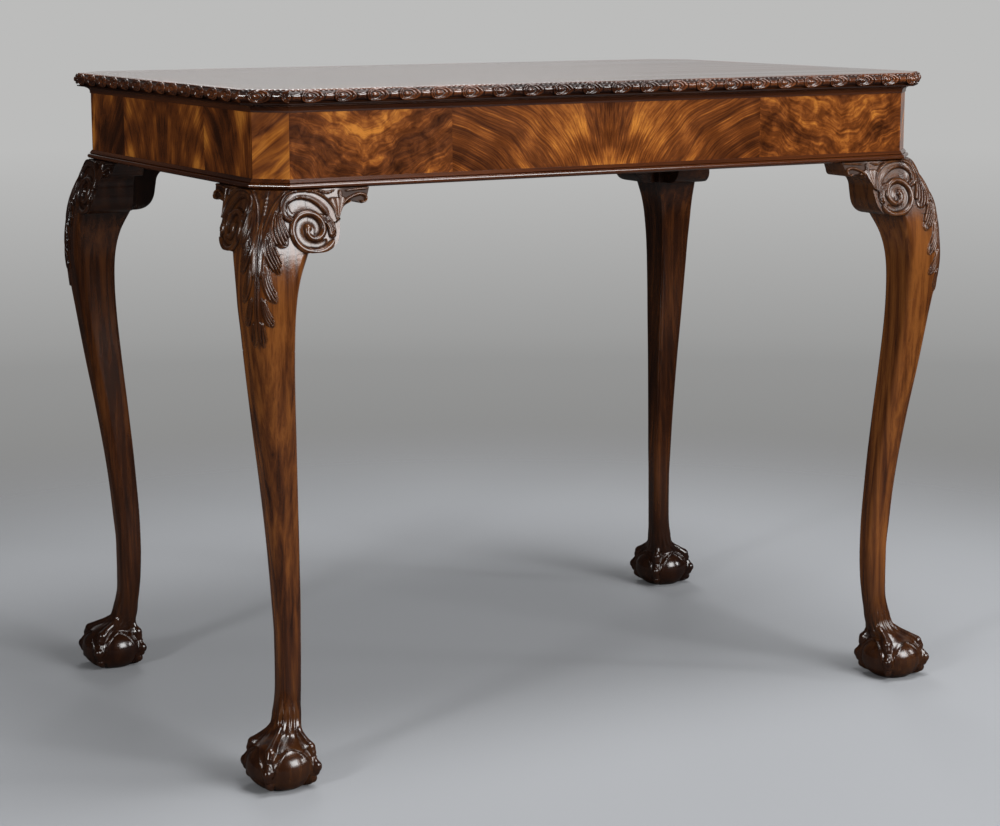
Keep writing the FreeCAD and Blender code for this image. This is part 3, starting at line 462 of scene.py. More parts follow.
def flame_veneer(name, axis, sign, shift, books, seams, turn=1.0, vees=0.0, dark=0.0, crisp=0.32):
    """Veneer for one side; books and seams are in millimetres from its start.

    With vees the outer books show slanting streaks instead of a fan. With dark the whole side gets painted shade.
    """
    tree = Tree(name)
    along = tree.axis(axis) * sign + (HALF_LENGTH if axis == "X" else HALF_DEPTH) * MM
    up = tree.axis("Z") - RAIL_BOTTOM * MM
    away, leaf = abs(along - books[0] * MM), 0.0
    for book, seam in zip(books[1:], seams):
        beyond = along > seam * MM
        away = away * (1.0 - beyond) + abs(along - book * MM) * beyond
        leaf = beyond + leaf
    # Wander a little, the same on both leaves of a pair.
    spot = tree.add("CombineXYZ", 0, X=away, Y=leaf * 3.7 + shift, Z=up)
    wander = tree.noise(spot, 13, 1.5, 0.5) - 0.5
    bent = wander * 0.018 + away
    lift = wander * -0.022 + up
    rise = (lift * 1000.0).at_least(0.0) ** 1.7
    streak = ((bent + 0.006).at_least(0.0005) / (rise * (0.00078 * turn) + 1.0)) ** 0.8
    clouds = tree.noise(spot, 15, 2.5, 0.55, 0.4)
    # Painted shade makes the short sides a little darker.
    glow = -dark
    if vees:
        side = abs(leaf - 1.0)
        own = tree.add("CombineXYZ", 0, X=along, Y=shift, Z=up)
        vee = ((tree.noise(own, 24, 2.5, 0.5) - 0.5) * 0.042 + bent * -vees + lift) * 0.8
        streak = streak * (1.0 - side) + vee * side
        # The flame glows beside the middle fold. The outer leaves are cloudier and have weaker lines.
        glow = tree.range(away, 0.0, 0.12, 0.045, -0.02) * (1.0 - side)
        clouds = tree.mix(side * 0.72, clouds, tree.noise(own, 60, 3.0, 0.6, 0.5), "FLOAT")
        crisp = side * -0.06 + crisp
    place = tree.add("CombineXYZ", 0, X=streak, Y=leaf * 2.1, Z=up * 0.14)
    value = tree.noise(place, 40, 2, 0.5, 0.1) * 0.38 + glow
    value = value + (0.66 - crisp) * clouds + crisp * tree.noise(place, 330, 4, 0.65, 0.1)
    colour = tree.ramp(value, (
        (0.42, (0.030, 0.0080, 0.0023)),
        (0.48, (0.078, 0.0200, 0.0043)),
        (0.53, (0.145, 0.0380, 0.0070)),
        (0.575, (0.280, 0.0800, 0.0125)),
        (0.64, (0.600, 0.2150, 0.0300)),
    ))
    flecks = tree.streaks((260, 260, 900), 2, 0.6)
    return tree.finish(
        Base_Color=tree.mix(tree.range(flecks, 0.55, 0.85, 0, 0.3), colour, (0.030, 0.008, 0.003, 1)),
        Roughness=tree.range(clouds, 0.3, 0.7, 0.16, 0.26),
        Specular_IOR_Level=FLAME_SHINE)


LONG_SIDE = {"books": (115.7, 424.9, 751.2), "seams": (223.7, 632.7), "vees": 0.55}
# The short sides carry a little painted shade.
SHORT_SIDE = {"books": (22.0, 268.0, 520.0), "seams": (144.0, 394.0), "turn": 0.55, "dark": 0.01, "crisp": 0.22}
veneers = {
    "front": flame_veneer("flame_front", "X", 1, 0.0, **LONG_SIDE),
    "back": flame_veneer("flame_back", "X", -1, 5.3, **LONG_SIDE),
    "right": flame_veneer("flame_right", "Y", 1, 9.1, **SHORT_SIDE),
    "left": flame_veneer("flame_left", "Y", -1, 2.4, **SHORT_SIDE),
}
print("veneers", list(veneers))

# %% [markdown]
# The cut-off corners have one leaf each, with stripes that rise to the right.


# %% Corner veneer
def corner_veneer(name, turn):
    """Stripes of light and dark that rise across a narrow leaf."""
    tree = Tree(name)
    flat = tree.place((1, 1, 1), (0, 0, turn))
    tilted = tree.place((1, 1, 1), (0, math.radians(38), 0), flat)
    stripes = tree.noise(tree.place((14, 14, 90), vector=tilted), 1.0, 4, 0.6, 0.6)
    clouds = tree.noise(flat, 28, 2, 0.5)
    colour = tree.ramp(clouds * 0.3 + stripes * 0.8, (
        (0.38, (0.070, 0.018, 0.005)),
        (0.48, (0.190, 0.052, 0.010)),
        (0.58, (0.360, 0.110, 0.016)),
        (0.70, (0.600, 0.215, 0.030)),
    ))
    return tree.finish(
        Base_Color=colour,
        Roughness=tree.range(clouds, 0.3, 0.7, 0.16, 0.26),
        Specular_IOR_Level=FLAME_SHINE)


for number, corner in enumerate(CORNERS):
    veneers[corner] = corner_veneer("flame_" + corner, math.radians(45 - 90 * number))
print("veneers", list(veneers))

# %% [markdown]
# Screws are brass, dulled by age.

# %% Brass
tree = Tree("old_brass")
tarnish = tree.streaks((400, 400, 400), 3, 0.6)
old_brass = tree.finish(
    Base_Color=tree.ramp(tarnish, ((0.35, (0.24, 0.15, 0.05)), (0.65, (0.62, 0.44, 0.17)))),
    Roughness=tree.range(tarnish, 0.3, 0.7, 0.45, 0.28),
    Metallic=1.0)
print("metal", old_brass.name)

# %% [markdown]
# The mouldings, veneers, boards, rails, blocks and screws of the solid model have
# the right shape already. They only take their material.

# %% Dress the solid nodes that stay
for name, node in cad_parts.items():
    across = name.endswith(("_left", "_right")) and "corner" not in name
    if name.startswith(("frieze_veneer", "corner_veneer")):
        material = veneers[name.split("_veneer_")[1]]
    elif name.startswith("top_board"):
        material = top_wood
    elif name.startswith("cove_moulding"):
        material = shaded_cove_woods[across]
    elif name.startswith("bead_moulding"):
        material = bead_woods[across]
    elif name.endswith("screws"):
        material = old_brass
    else:
        material = inside_woods[across or name == "cross_bearer"]
    node.data.materials.clear()
    node.data.materials.append(material)
print("dressed", len(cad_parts), "nodes")

# %% [markdown]
# ## The leg's plain shape
# A cabriole leg is sawn from a square blank and rounded. Its cross-section is a
# rounded square at every height, given by where its outer and inner faces are and
# how much each arris is rounded. The table below gives these at a few heights, as
# shares of the knee's height and of the blank, and the rest is drawn smoothly
# between them.

# %% Sections of the leg
CABRIOLE_SHARES = (
    # height, outer face, inner face, rounding at the sides, at the back and at the front
    (0.073, -0.212, 0.606, 0.390, 0.390, 0.390),
    (0.085, -0.120, 0.580, 0.330, 0.330, 0.330),
    (0.098, 0.020, 0.572, 0.250, 0.250, 0.250),
    (0.114, 0.120, 0.583, 0.182, 0.182, 0.182),
    (0.136, 0.174, 0.596, 0.137, 0.137, 0.139),
    (0.170, 0.230, 0.630, 0.137, 0.137, 0.125),
    (0.204, 0.241, 0.647, 0.152, 0.106, 0.120),
    (0.272, 0.242, 0.661, 0.166, 0.091, 0.124),
    (0.340, 0.206, 0.653, 0.166, 0.091, 0.139),
    (0.407, 0.155, 0.627, 0.166, 0.091, 0.186),
    (0.475, 0.094, 0.594, 0.159, 0.083, 0.205),
    (0.577, -0.020, 0.532, 0.151, 0.076, 0.230),
    (0.679, -0.148, 0.464, 0.136, 0.068, 0.250),
    (0.781, -0.268, 0.408, 0.136, 0.061, 0.286),
    (0.849, -0.332, 0.394, 0.136, 0.053, 0.250),
    (0.917, -0.379, 0.423, 0.136, 0.045, 0.273),
    (0.959, -0.370, 0.503, 0.136, 0.045, 0.317),
    (1.000, -0.333, 0.650, 0.136, 0.045, 0.333),
)
# Rise over the ledge, swell of the face and rounding of the arris.
KNEE_SHARES = ((0.00, 1.00, 0.333), (0.25, 0.82, 0.350), (0.50, 0.54, 0.394), (0.75, 0.24, 0.500), (1.00, 0.00, 0.600))
ARRIS = math.radians(225)


def smooth_through(x, places, values):
    """A smooth line through points, without overshoot."""
    steps = np.diff(places)
    slopes = np.diff(values) / steps
    tangents = np.concatenate(([slopes[0]], (slopes[1:] + slopes[:-1]) / 2, [slopes[-1]]))
    tangents[1:-1][slopes[1:] * slopes[:-1] <= 0] = 0
    spot = np.clip(np.searchsorted(places, x) - 1, 0, len(steps) - 1)
    h = steps[spot]
    t = np.clip((x - places[spot]) / h, 0, 1)
    return ((2 * t ** 3 - 3 * t ** 2 + 1) * values[spot] + (t ** 3 - 2 * t ** 2 + t) * h * tangents[spot]
            + (3 * t ** 2 - 2 * t ** 3) * values[spot + 1] + (t ** 3 - t ** 2) * h * tangents[spot + 1])


def walk(points):
    """The distance walked along a line to each of its points."""
    return np.concatenate(([0], np.cumsum(np.linalg.norm(np.diff(points, axis=0), axis=1))))


def walked_to(points, distances):
    """The places on a line at some distances from its start."""
    walked = walk(points)
    return np.stack([np.interp(distances, walked, points[:, k]) for k in (0, 1)], -1)


lower = np.array(CABRIOLE_SHARES) * ([LEDGE] + [BLANK] * 5)
upper = np.array([
    (LEDGE + EAR_HEIGHT * rise, -(KNEE_TOP_SWELL + (KNEE_SWELL - KNEE_TOP_SWELL) * swell), STILE_INNER,
     0.02, 0.02, BLANK * arris) for rise, swell, arris in KNEE_SHARES])
# The outer face runs over the ledge without a kink.
outer_face = np.vstack([lower[:-1, :2], upper[:, :2]])


def section_at(z):
    """Outer face, inner face and the three roundings at each height."""
    z = np.asarray(z, float)
    below, above = (np.stack([smooth_through(z, table[:, 0], table[:, k]) for k in range(1, 6)], -1)
                    for table in (lower, upper))
    both = np.where((z > LEDGE)[..., None], above, below)
    both[..., 0] = smooth_through(z, outer_face[:, 0], outer_face[:, 1])
    return both


def half_outline(section):
    """Half of a rounded square, from the outer arris round to the inner one."""
    outer, inner, side, back, front = section

    def arc(x, y, radius, first, last):
        angle = np.radians(first + (last - first) * np.linspace(0, 1, 60))
        return np.stack([x + radius * np.cos(angle), y + radius * np.sin(angle)], -1)

    return np.vstack([
        arc(outer + front, outer + front, front, 225, 270),
        arc(inner - side, outer + side, side, 270, 360),
        arc(inner - back, inner - back, back, 0, 45),
    ])


def from_arris_round(x, y):
    """The direction of a place, turned from the arris."""
    return np.mod(np.arctan2(y, x) - ARRIS, 2 * math.pi)


print("knee section at the ledge", np.round(section_at(LEDGE), 1))

# %% [markdown]
# ## Drawing with strokes
# The carving is drawn like a carver's sketch on the unrolled face of the knee. A
# place is (across, height): across runs from the uncut corner of the frieze along
# the side, and bends round the arris with the wood. Each stroke is a rounded rib
# with its own width and height, and the highest rib wins. Where two ribs meet, a
# crisp groove is left, as between two cuts of a gouge.


# %% Strokes
def curve(points, count=28):
    """A smooth line through a few points."""
    points = np.array(points, float)
    walked = walk(points)
    where = np.linspace(0, walked[-1], count)
    padded = np.vstack([2 * points[0] - points[1], points, 2 * points[-1] - points[-2]])
    spot = np.clip(np.searchsorted(walked, where, side="right") - 1, 0, len(points) - 2)
    t = ((where - walked[spot]) / np.diff(walked)[spot])[:, None]
    p0, p1, p2, p3 = (padded[spot + k] for k in range(4))
    return 0.5 * (2 * p1 + (p2 - p0) * t + (2 * p0 - 5 * p1 + 4 * p2 - p3) * t ** 2
                  + (3 * p1 - p0 - 3 * p2 + p3) * t ** 3)


def rounded(v, least=0.0):
    """The height of a half circle of radius 1 at v from its middle."""
    return np.sqrt(np.clip(1 - v ** 2, least, 1))


def narrowing(share, tip, head, least):
    """How much a stroke narrows towards its tip and its head."""
    factor = 1.0
    for past, reach in ((share - 1 + tip, tip), (head - share, head)):
        if reach:
            factor = factor * rounded(np.clip(past / reach, 0, 1), least)
    return factor


def between(pair, share):
    """A number part of the way from the first to the second; one number stays as it is."""
    first, second = np.broadcast_to(np.asarray(pair, float), (2,))
    return first + (second - first) * share


class Relief:
    """Heights over a set of places, raised stroke by stroke."""

    def __init__(self, across, height):
        self.x, self.z = across.ravel(), height.ravel()
        self.h = np.zeros(self.x.size)

    def near(self, line, reach):
        """The places near a line, their distance from it and share along it."""
        low, high = line.min(0) - reach, line.max(0) + reach
        spots = np.flatnonzero((self.x > low[0]) & (self.x < high[0]) & (self.z > low[1]) & (self.z < high[1]))
        start, step = line[:-1], np.diff(line, axis=0)
        to_x = self.x[spots, None] - start[:, 0]
        to_z = self.z[spots, None] - start[:, 1]
        t = np.clip((to_x * step[:, 0] + to_z * step[:, 1]) / (step ** 2).sum(1), 0, 1)
        gap = np.hypot(to_x - t * step[:, 0], to_z - t * step[:, 1])
        row, best = np.arange(spots.size), gap.argmin(1)
        return spots, gap[row, best], (best + t[row, best]) / len(step)

    def raise_to(self, value, spots=slice(None)):
        """Keep the higher of what is there and what is added."""
        self.h[spots] = np.maximum(self.h[spots], value)

    def rib(self, line, width, height, tip=0.25, head=0.08, base=0.0, power=0.62):
        """Raise a rounded rib; width and height run from start to end, and the ends narrow."""
        spots, gap, share = self.near(line, np.max(width))
        v = gap / (between(width, share) * narrowing(share, tip, head, 0.0004))
        value = base + (between(height, share) - base) * np.clip(1 - v ** 2, 0, 1) ** power
        self.raise_to(np.where(v < 1, value, -9), spots)

    def groove(self, line, width, depth):
        """Cut a soft groove along a line."""
        spots, gap, share = self.near(line, width)
        v = np.clip(gap / (width * narrowing(share, 0.3, 0.15, 0.001)), 0, 1)
        self.h[spots] -= depth * (1 - v ** 2)

    def leaf(self, left, right, fingers, height, stagger=0.1):
        """A leaf lobe: gouge cuts side by side between two edges, with stepped tips."""
        left, right = curve(left), curve(right)
        breadth = np.linalg.norm(right - left, axis=1)
        body = 0.5 * height
        self.rib(left + (right - left) * 0.5, (max(breadth[0] / 2, 0.8), breadth[-4] / 2), body, tip=0.3, power=0.3)
        for number in range(fingers):
            share = (number + 0.5) / fingers
            middle = left + (right - left) * share
            off = abs(share - 0.42) * 2
            last = int(len(middle) * (1 - stagger * off * 2.2))
            crown = height * (1.0 - 0.18 * off)
            wide = breadth / fingers * 0.6
            self.rib(middle[:last], (max(wide[0], 0.5), max(wide[last - 1], 0.7)),
                     (crown * 0.8, crown), tip=0.28, base=body * 0.6, power=0.55)


def blurred(values, times):
    """Spread values over their neighbours in a grid."""
    for _ in range(times):
        padded = np.pad(values, 1, mode="edge")
        values = (padded[:-2, 1:-1] + padded[2:, 1:-1] + padded[1:-1, :-2] + padded[1:-1, 2:]
                  + 2 * padded[1:-1, 1:-1]) / 6
    return values


def recess_shade(height, times, full):
    """How far each place lies in a recess, from 0 to 1, for painted shade."""
    return np.clip((blurred(height, times) - height) / full, 0, 1)


print("a curve through three points has", len(curve(((0, 0), (1, 1), (2, 0)))), "points")

# %% [markdown]
# ## The knee's carving
# A pair of C scrolls starts at the top of the knee, sweeps out over the ears and
# down, and frames a volute on each side. Leaf lobes fall from the scrolls, one
# under the other, and end low on the knee. Between them a narrow sunk panel runs
# down the arris with a fan of gouge cuts, a row of punched dots and a spine.

# %% The knee's strokes
C_OUTER = ((25.1, 622.6), (16.6, 626.3), (13.5, 633.3), (15.2, 642.3), (21.9, 650.3), (32.5, 654.0),
           (44.1, 654.2), (56.2, 652.5), (68.0, 645.2), (75.7, 634.5), (77.6, 621.0))
C_INNER = ((26.6, 624.6), (21.2, 629.0), (20.2, 634.8), (22.6, 640.4), (28.0, 644.4), (34.9, 646.4),
           (41.5, 646.0), (49.4, 643.4), (58.0, 637.0), (64.8, 628.4), (69.8, 618.6))
LOBES = (
    (((-18, 520.7), (-18, 503.4), (-14.5, 491.4)),
     ((-13.9, 517.5), (-10.7, 506.6), (-9.5, 500.1), (-10.4, 493.6)), 3, 2.2),
    (((-16.1, 546.1), (-15.2, 531.3), (-10.9, 518.4), (-4.2, 510.5)),
     ((-12.1, 541.8), (-7.9, 531), (-2.2, 523.2), (1.3, 519.7)), 4, 2.8),
    (((-13, 583.3), (-14.3, 564.8), (-10.9, 548.1), (-2.3, 533.8)),
     ((-8.2, 577), (-5, 561.4), (0.3, 551.6), (4.7, 546)), 4, 3.2),
    (((-3.9, 613.6), (-10.1, 600.6), (-9.6, 587.4), (-4.1, 574.8), (2, 565.1)),
     ((-0.5, 609.6), (2.2, 598.3), (6.8, 586.6), (9.7, 578.1), (9.3, 573)), 5, 3.6),
    (((8.2, 633.4), (2, 623.5), (-0.9, 613.6), (0.5, 602.4), (6.3, 593.9)),
     ((13.5, 633.3), (15.3, 623.2), (18, 613.8), (20.3, 606.5), (21.8, 600.2)), 5, 3.8),
)
PANEL_RIB = ((22.4, 653.3), (11, 642.4), (1.2, 629.5), (-6.7, 615.6), (-12.3, 599.6), (-16.2, 583.2))
PANEL_EDGE = np.array(((-20, 490), (-18, 560)) + PANEL_RIB[::-1])
FAN_LEFT = ((23.3, 652.3), (13.1, 642.3), (4.5, 630.5), (-2.2, 617.6), (-9.9, 602.6), (-15.1, 583.3), (-17.7, 559.6))
FAN_RIGHT = ((28.6, 652.1), (18.4, 642.2), (10.1, 632.4), (2.3, 619.5), (-3, 607.6), (-8.9, 593.5), (-13.4, 577.1))
VOLUTE = (44.4, 612.6)
VOLUTE_RIM = (30, 26, 21.4, 20.8, 20.6, 19.4, 18, 17, 15.3, 11.6, 7.8, 4.8, 3.0)  # every eighth of a turn
CRESCENT = ((26, 632), (34, 640), (46, 640), (57, 634), (66, 624))


def volute_line(first, last, inset=0.0):
    """Part of the volute's spiral; angles turn clockwise from the right."""
    turn = np.linspace(first, last, int((last - first) / 7) + 2)
    radius = np.interp(turn, np.arange(len(VOLUTE_RIM)) * 45, VOLUTE_RIM) - inset
    angle = np.radians(turn)
    return np.stack([VOLUTE[0] + radius * np.cos(angle), VOLUTE[1] - radius * np.sin(angle)], -1)


def carve_knee(x, z, from_arris):
    """Heights of the carving over places on the unrolled face."""
    relief = Relief(x, z)
    s, height = from_arris.ravel(), relief.z
    # The panel between the scrolls is sunk.
    panel_edge = np.interp(height, PANEL_EDGE[:, 1], PANEL_EDGE[:, 0])
    relief.h -= np.clip((panel_edge - relief.x) / 1.5, 0, 1) * np.clip((height - 560) / 30, 0, 1)
    for left, right, fingers, lift in LOBES:
        relief.leaf(left, right, fingers, lift)
    relief.leaf(FAN_LEFT, FAN_RIGHT, 3, 2.4, stagger=0.02)
    relief.rib(curve(PANEL_RIB), 1.3, (1.6, 1.2), tip=0.1)
    # The band of the C scroll: a rounded outer edge, a hollow and a thin inner fillet.
    outer, inner = curve(C_OUTER, 60), curve(C_INNER, 60)
    wide = np.linalg.norm(outer - inner, axis=1) / 2
    relief.rib((outer + inner) / 2, (wide[5] + 0.4, wide[45] + 0.6), 2.3, tip=0.03, head=0.03, power=0.2)
    relief.rib(outer + (inner - outer) * 0.12, 1.5, 3.9, tip=0.04, head=0.04)
    relief.rib(outer + (inner - outer) * 0.94, 1.1, 3.1, tip=0.04, head=0.04)
    # The grounds inside the volute and inside the C scroll are dished.
    relief.groove(volute_line(30, 400, 7.0), 5.5, 1.1)
    relief.groove(curve(CRESCENT), 9, 0.9)
    # The volute is a rolled rim that winds into its eye.
    relief.rib(volute_line(24, 300), (3.5, 3.0), (3.6, 3.7), tip=0.0, head=0.06, power=0.45)
    relief.rib(volute_line(300, 530), (3.0, 2.6), (3.7, 3.9), tip=0.0, head=0.0, power=0.45)
    relief.rib(volute_line(500, 590, -1.0), (2.4, 4.2), (3.9, 4.2), tip=0.0, head=0.0)
    # A small leaf lies over the volute's start, and another one fills the ear's middle.
    relief.leaf(((57.5, 628), (65, 626.5), (71.5, 620), (74.5, 608)),
                ((57.5, 623), (62, 619.5), (65.8, 612.5), (66, 601)), 4, 3.9, stagger=0.05)
    relief.leaf(((70.2, 644.1), (74.5, 634), (76.8, 622)), ((90.2, 645.2), (84.5, 634), (78, 621.5)), 3, 3.3, 0.0)
    # Thin tendrils fill the ear up to its curled tip.
    relief.rib(curve(((95.5, 641), (90, 633), (80, 622))), (2.4, 1.2), (3.0, 2.0))
    relief.rib(curve(((82.8, 636), (84.2, 645), (84.4, 652.5))), (1.2, 2.2), (2.6, 3.0), tip=0.2)
    relief.rib(curve(((86.5, 638), (92, 642.5), (100, 646), (107.5, 647.6), (114, 645.6), (114.6, 641), (110.6, 638.6),
                      (107.6, 640.6))), (1.6, 1.3), (2.6, 3.2), tip=0.06)
    relief.rib(curve(((92.0, 651.6), (104, 652.6), (118.5, 653.3))), 1.1, 1.6)
    relief.rib(curve(((46.0, 653.3), (60, 652.8), (70, 650.6), (79, 653.0))), 0.9, 1.4)
    # The spine on the arris has a cut down its middle, and the dots lie above it.
    spine = np.clip((height - 486) / 26, 0, 1) * np.clip((626 - height) / 16, 0, 1)
    v = np.clip(s / (1.3 + 1.7 * spine), 0, 1)
    relief.raise_to(np.where(v < 1, spine * (2.1 * rounded(v) - 1.2 * (1 - np.clip(s / 1.1, 0, 1))), -9))
    for level in (647.2, 643.3, 639.3, 635.3, 631.4):
        gap = np.hypot(s, height - level) / 1.7
        relief.raise_to(np.where(gap < 1, -0.9 + 1.5 * rounded(gap), -9))
    # The foot of the carving fades out.
    return relief.h.reshape(x.shape) * np.clip((z - 487) / 5, 0, 1)


print("the volute's rim is", len(volute_line(30, 530)), "points long, and", len(LOBES), "lobes fall from the scroll")

# %% [markdown]
# ## The foot
# A ball is gripped by four claws. The foot is found by feeling inwards from outside
# along level lines until something solid is met: the squat ball, the web of skin
# between the claws, the ankle or a claw. These are blended a little where they
# meet. The web ends in an arch over each side of the ball, with a thin lip.

# %% The foot's parts
BALL_MIDDLE, BALL_RADIUS, BALL_HEIGHT, BALL_RISE = 10.9, 38.6, 30.0, 24.0
CLAW_LINE = np.array((
    # out from the ball's middle, height, thickness, share of the ankle's offset
    (8.0, 78.0, 2.4, 1.0), (12.0, 65.0, 4.0, 0.85), (18.0, 56.0, 5.0, 0.5), (25.5, 50.0, 5.6, 0.25),
    (32.0, 44.0, 7.6, 0.1), (34.5, 38.5, 6.4, 0.05), (35.4, 34.0, 4.6, 0.03), (38.0, 29.0, 5.6, 0.0),
    (40.4, 24.0, 7.2, 0.0), (39.4, 18.5, 5.6, 0.0), (37.2, 14.8, 4.2, 0.0), (36.2, 10.5, 5.6, 0.0),
    (32.4, 6.2, 3.8, 0.0), (27.4, 3.4, 2.4, 0.0),
))
CLAW_NARROW = 1.2
ANKLE_OFFSET, ANKLE_END, ANKLE_TOP = 14.9905, 43.0, 84.0
FEEL_FROM, FEEL_STEPS, FEEL_SHARE = 62.0, 70, 0.62  # the feeling starts here and takes short steps


def softer(first, second, blend):
    """The nearer of two distances, rounded where they are alike."""
    share = np.clip(0.5 + 0.5 * (second - first) / blend, 0, 1)
    return second + (first - second) * share - blend * share * (1 - share)


def ease(value, low, high):
    """A soft step from 0 to 1."""
    t = np.clip((value - low) / (high - low), 0, 1)
    return t * t * (3 - 2 * t)


claws = []
for number in range(4):
    turn = math.radians(45 + 90 * number)
    along = np.array([math.cos(turn), math.sin(turn)])
    aside = np.array([along[1], -along[0]]) * CLAW_NARROW
    centres = CLAW_LINE[:, :1] * along + CLAW_LINE[:, 3:] * ANKLE_OFFSET
    claws.append((along, aside, np.column_stack([centres @ along, centres @ aside, CLAW_LINE[:, 1]])))


def outline_at(z):
    """The leg's section at a height, as its middle and the angles and radii from there."""
    section = section_at(z)
    points = half_outline(section)
    middle = section[:2].mean()
    x, y = (walked_to(points, np.linspace(0, walk(points)[-1], 400)) - middle).T
    return middle, from_arris_round(x, y), np.hypot(x, y)


def foot_distance(x, y, z, outline):
    """How far a place at height z is from the foot's surface."""
    bx, by = x - BALL_MIDDLE, y - BALL_MIDDLE
    rise = z - BALL_RISE
    scaled = np.sqrt((bx ** 2 + by ** 2) / BALL_RADIUS ** 2 + rise ** 2 / BALL_HEIGHT ** 2)
    slope = np.sqrt((bx ** 2 + by ** 2) / BALL_RADIUS ** 4 + rise ** 2 / BALL_HEIGHT ** 4)
    ball = scaled * (scaled - 1) / np.maximum(slope, 1e-6)
    # The web of skin lies outside an arch on the ball, and its edge is a lip.
    gap = np.mod(np.degrees(np.arctan2(by, bx)) + 45, 90) - 45
    wide = 31 + 14 * np.clip(1 - z / BALL_RISE, 0, 1)
    edge = np.sqrt((gap / wide) ** 2 + (max(rise, 0) / 22.5) ** 2) - 1
    skin = 1.4 * ease(edge, 0, 0.07) + 1.1 * np.exp(-((edge - 0.06) / 0.04) ** 2)
    ball = ball - skin * np.clip(z / 8, 0, 1)
    # The ankle is fluted, and ends inside the ball.
    middle, angles, radii = outline
    angle = from_arris_round(x - middle, y - middle)
    angle = np.minimum(angle, 2 * math.pi - angle)
    ankle = (np.hypot(x - middle, y - middle) - np.interp(angle, angles, radii)) * 0.92
    flutes = np.cos(16 * angle + math.pi) * 0.5 * ease(z, 50, 60) * (1 - ease(z, 72, 88))
    ankle = ankle - flutes + 2.2 * (1 - ease(z, 45, 54))
    if z < ANKLE_END:
        ankle = np.hypot(np.maximum(ankle, 0), ANKLE_END - z)
    thick = CLAW_LINE[:, 2]
    claw = np.full(x.shape, 1e3)
    for along, aside, line in claws:
        place = np.stack([bx * along[0] + by * along[1], bx * aside[0] + by * aside[1], np.full(x.shape, z)], -1)
        start, step = line[:-1], np.diff(line, axis=0)
        to = place[:, None] - start
        t = np.clip((to * step).sum(-1) / (step ** 2).sum(-1), 0, 1)
        reach = np.sqrt(((to - t[..., None] * step) ** 2).sum(-1)) - (thick[:-1] + np.diff(thick) * t)
        claw = np.minimum(claw, reach.min(-1))
    return softer(softer(ball, ankle, 4.0), claw / (0.5 + 0.5 * CLAW_NARROW), 1.2)


def foot_ring(z, bearings):
    """Points of the foot's surface at height z in the given directions, and their radii."""
    outline = outline_at(max(z, ANKLE_END + 0.5))
    middle = BALL_MIDDLE + (outline_at(max(z, ANKLE_TOP))[0] - BALL_MIDDLE) * float(ease(z, 40, ANKLE_TOP))
    rays = np.stack([np.cos(bearings), np.sin(bearings)])
    radius = np.full(bearings.shape, FEEL_FROM)
    for _ in range(FEEL_STEPS):
        radius = np.maximum(radius - FEEL_SHARE * foot_distance(*(middle + radius * rays), z, outline), 1.0)
    return (middle + radius * rays).T, radius


ring, ring_radius = foot_ring(24.0, np.radians(np.linspace(45, 225, 7)))
print("radii of the foot at the ball's middle", np.round(ring_radius, 1))

# %% [markdown]
# ## The whole leg
# Rings of points are stacked from the floor to the underside of the top. In the
# knee, most of a ring's points lie on the two carved faces; down the shaft they
# spread out evenly. The post behind the frieze is the plain square top end.

# %% Rows of points on half a leg
FINE, ACROSS, BEHIND = 0.7, 88, 15  # spacing and number of the fine columns, and the columns after them
CARVED_FROM = 486
POST_FACE = 1.2
STAIN = 0.58
BACK_STAIN = 0.62


def foot_bearings():
    """Directions of the columns round the foot, closer together at the claws."""
    angle = np.linspace(225, 45, 721)
    near = sum(np.exp(-((angle - claw) / 13.0) ** 2) for claw in (225, 135, 45))
    walked = np.concatenate(([0], np.cumsum((1 + 2.2 * near)[1:])))
    spread = np.interp(np.linspace(0, walked[-1], ACROSS + BEHIND), walked, angle)
    # Seen from the arris at 225 degrees the half goes through the front, at 315.
    return np.radians(450 - spread)


bearings = foot_bearings()
ankle_outline = half_outline(section_at(99.0))
ankle_turns = from_arris_round(*(ankle_outline - section_at(99.0)[:2].mean()).T)
ankle_walk = walk(ankle_outline)
shaft_shares = np.interp(np.mod(bearings - ARRIS, 2 * math.pi), ankle_turns, ankle_walk / ankle_walk[-1])
shaft_shares[0], shaft_shares[-1] = 0.0, 1.0
fine_columns = np.arange(ACROSS + 1) * FINE


def with_the_back(carved, end):
    """Distances of all columns from the arris: the fine ones, and wide ones to the end."""
    return np.concatenate([carved, np.linspace(carved[-1], end, BEHIND)[1:]])


knee_shares = with_the_back(fine_columns / (17.3 + 44 + 66), 1)
foot_levels = np.concatenate([np.arange(0, 60, 0.8), np.arange(60, 99, 1.2)])
levels = np.concatenate([
    np.arange(99, 141, 3), np.arange(141, 470, 7), np.arange(470, CARVED_FROM, 2),
    np.arange(CARVED_FROM, LEDGE, FINE), np.arange(LEDGE, RAIL_BOTTOM, FINE), [RAIL_BOTTOM]])
rows, foot_radii, from_arris, across, inner_edge = [], [], [], [], []
for z in foot_levels:
    ring, radius = foot_ring(float(z), bearings)
    rows.append(np.column_stack([ring, np.full(len(ring), z)]))
    foot_radii.append(radius)
for z in levels:
    outer, inner, side, _, front = section = section_at(float(z))
    points = half_outline(section)
    whole = walk(points)[-1]
    place = (shaft_shares + (knee_shares - shaft_shares) * float(ease(z, 330, CARVED_FROM))) * whole
    if z >= CARVED_FROM:
        # The fine columns keep their distance in millimetres from the arris.
        flat_end = math.pi / 4 * front + inner - side - (outer + front) + (0.0 if z >= LEDGE else 0.3)
        place = with_the_back(fine_columns * min(1.0, flat_end / fine_columns[-1]), whole)
    rows.append(np.column_stack([walked_to(points, place), np.full(len(place), z)]))
    from_arris.append(place)
    across.append(outer + front * (1 - math.pi / 4) + place)
    inner_edge.append(inner - (side if z < LEDGE else 0))
half = np.array(rows)
from_arris, across, inner_edge = np.array(from_arris), np.array(across), np.array(inner_edge)
print("half a leg:", half.shape[:2], "points")

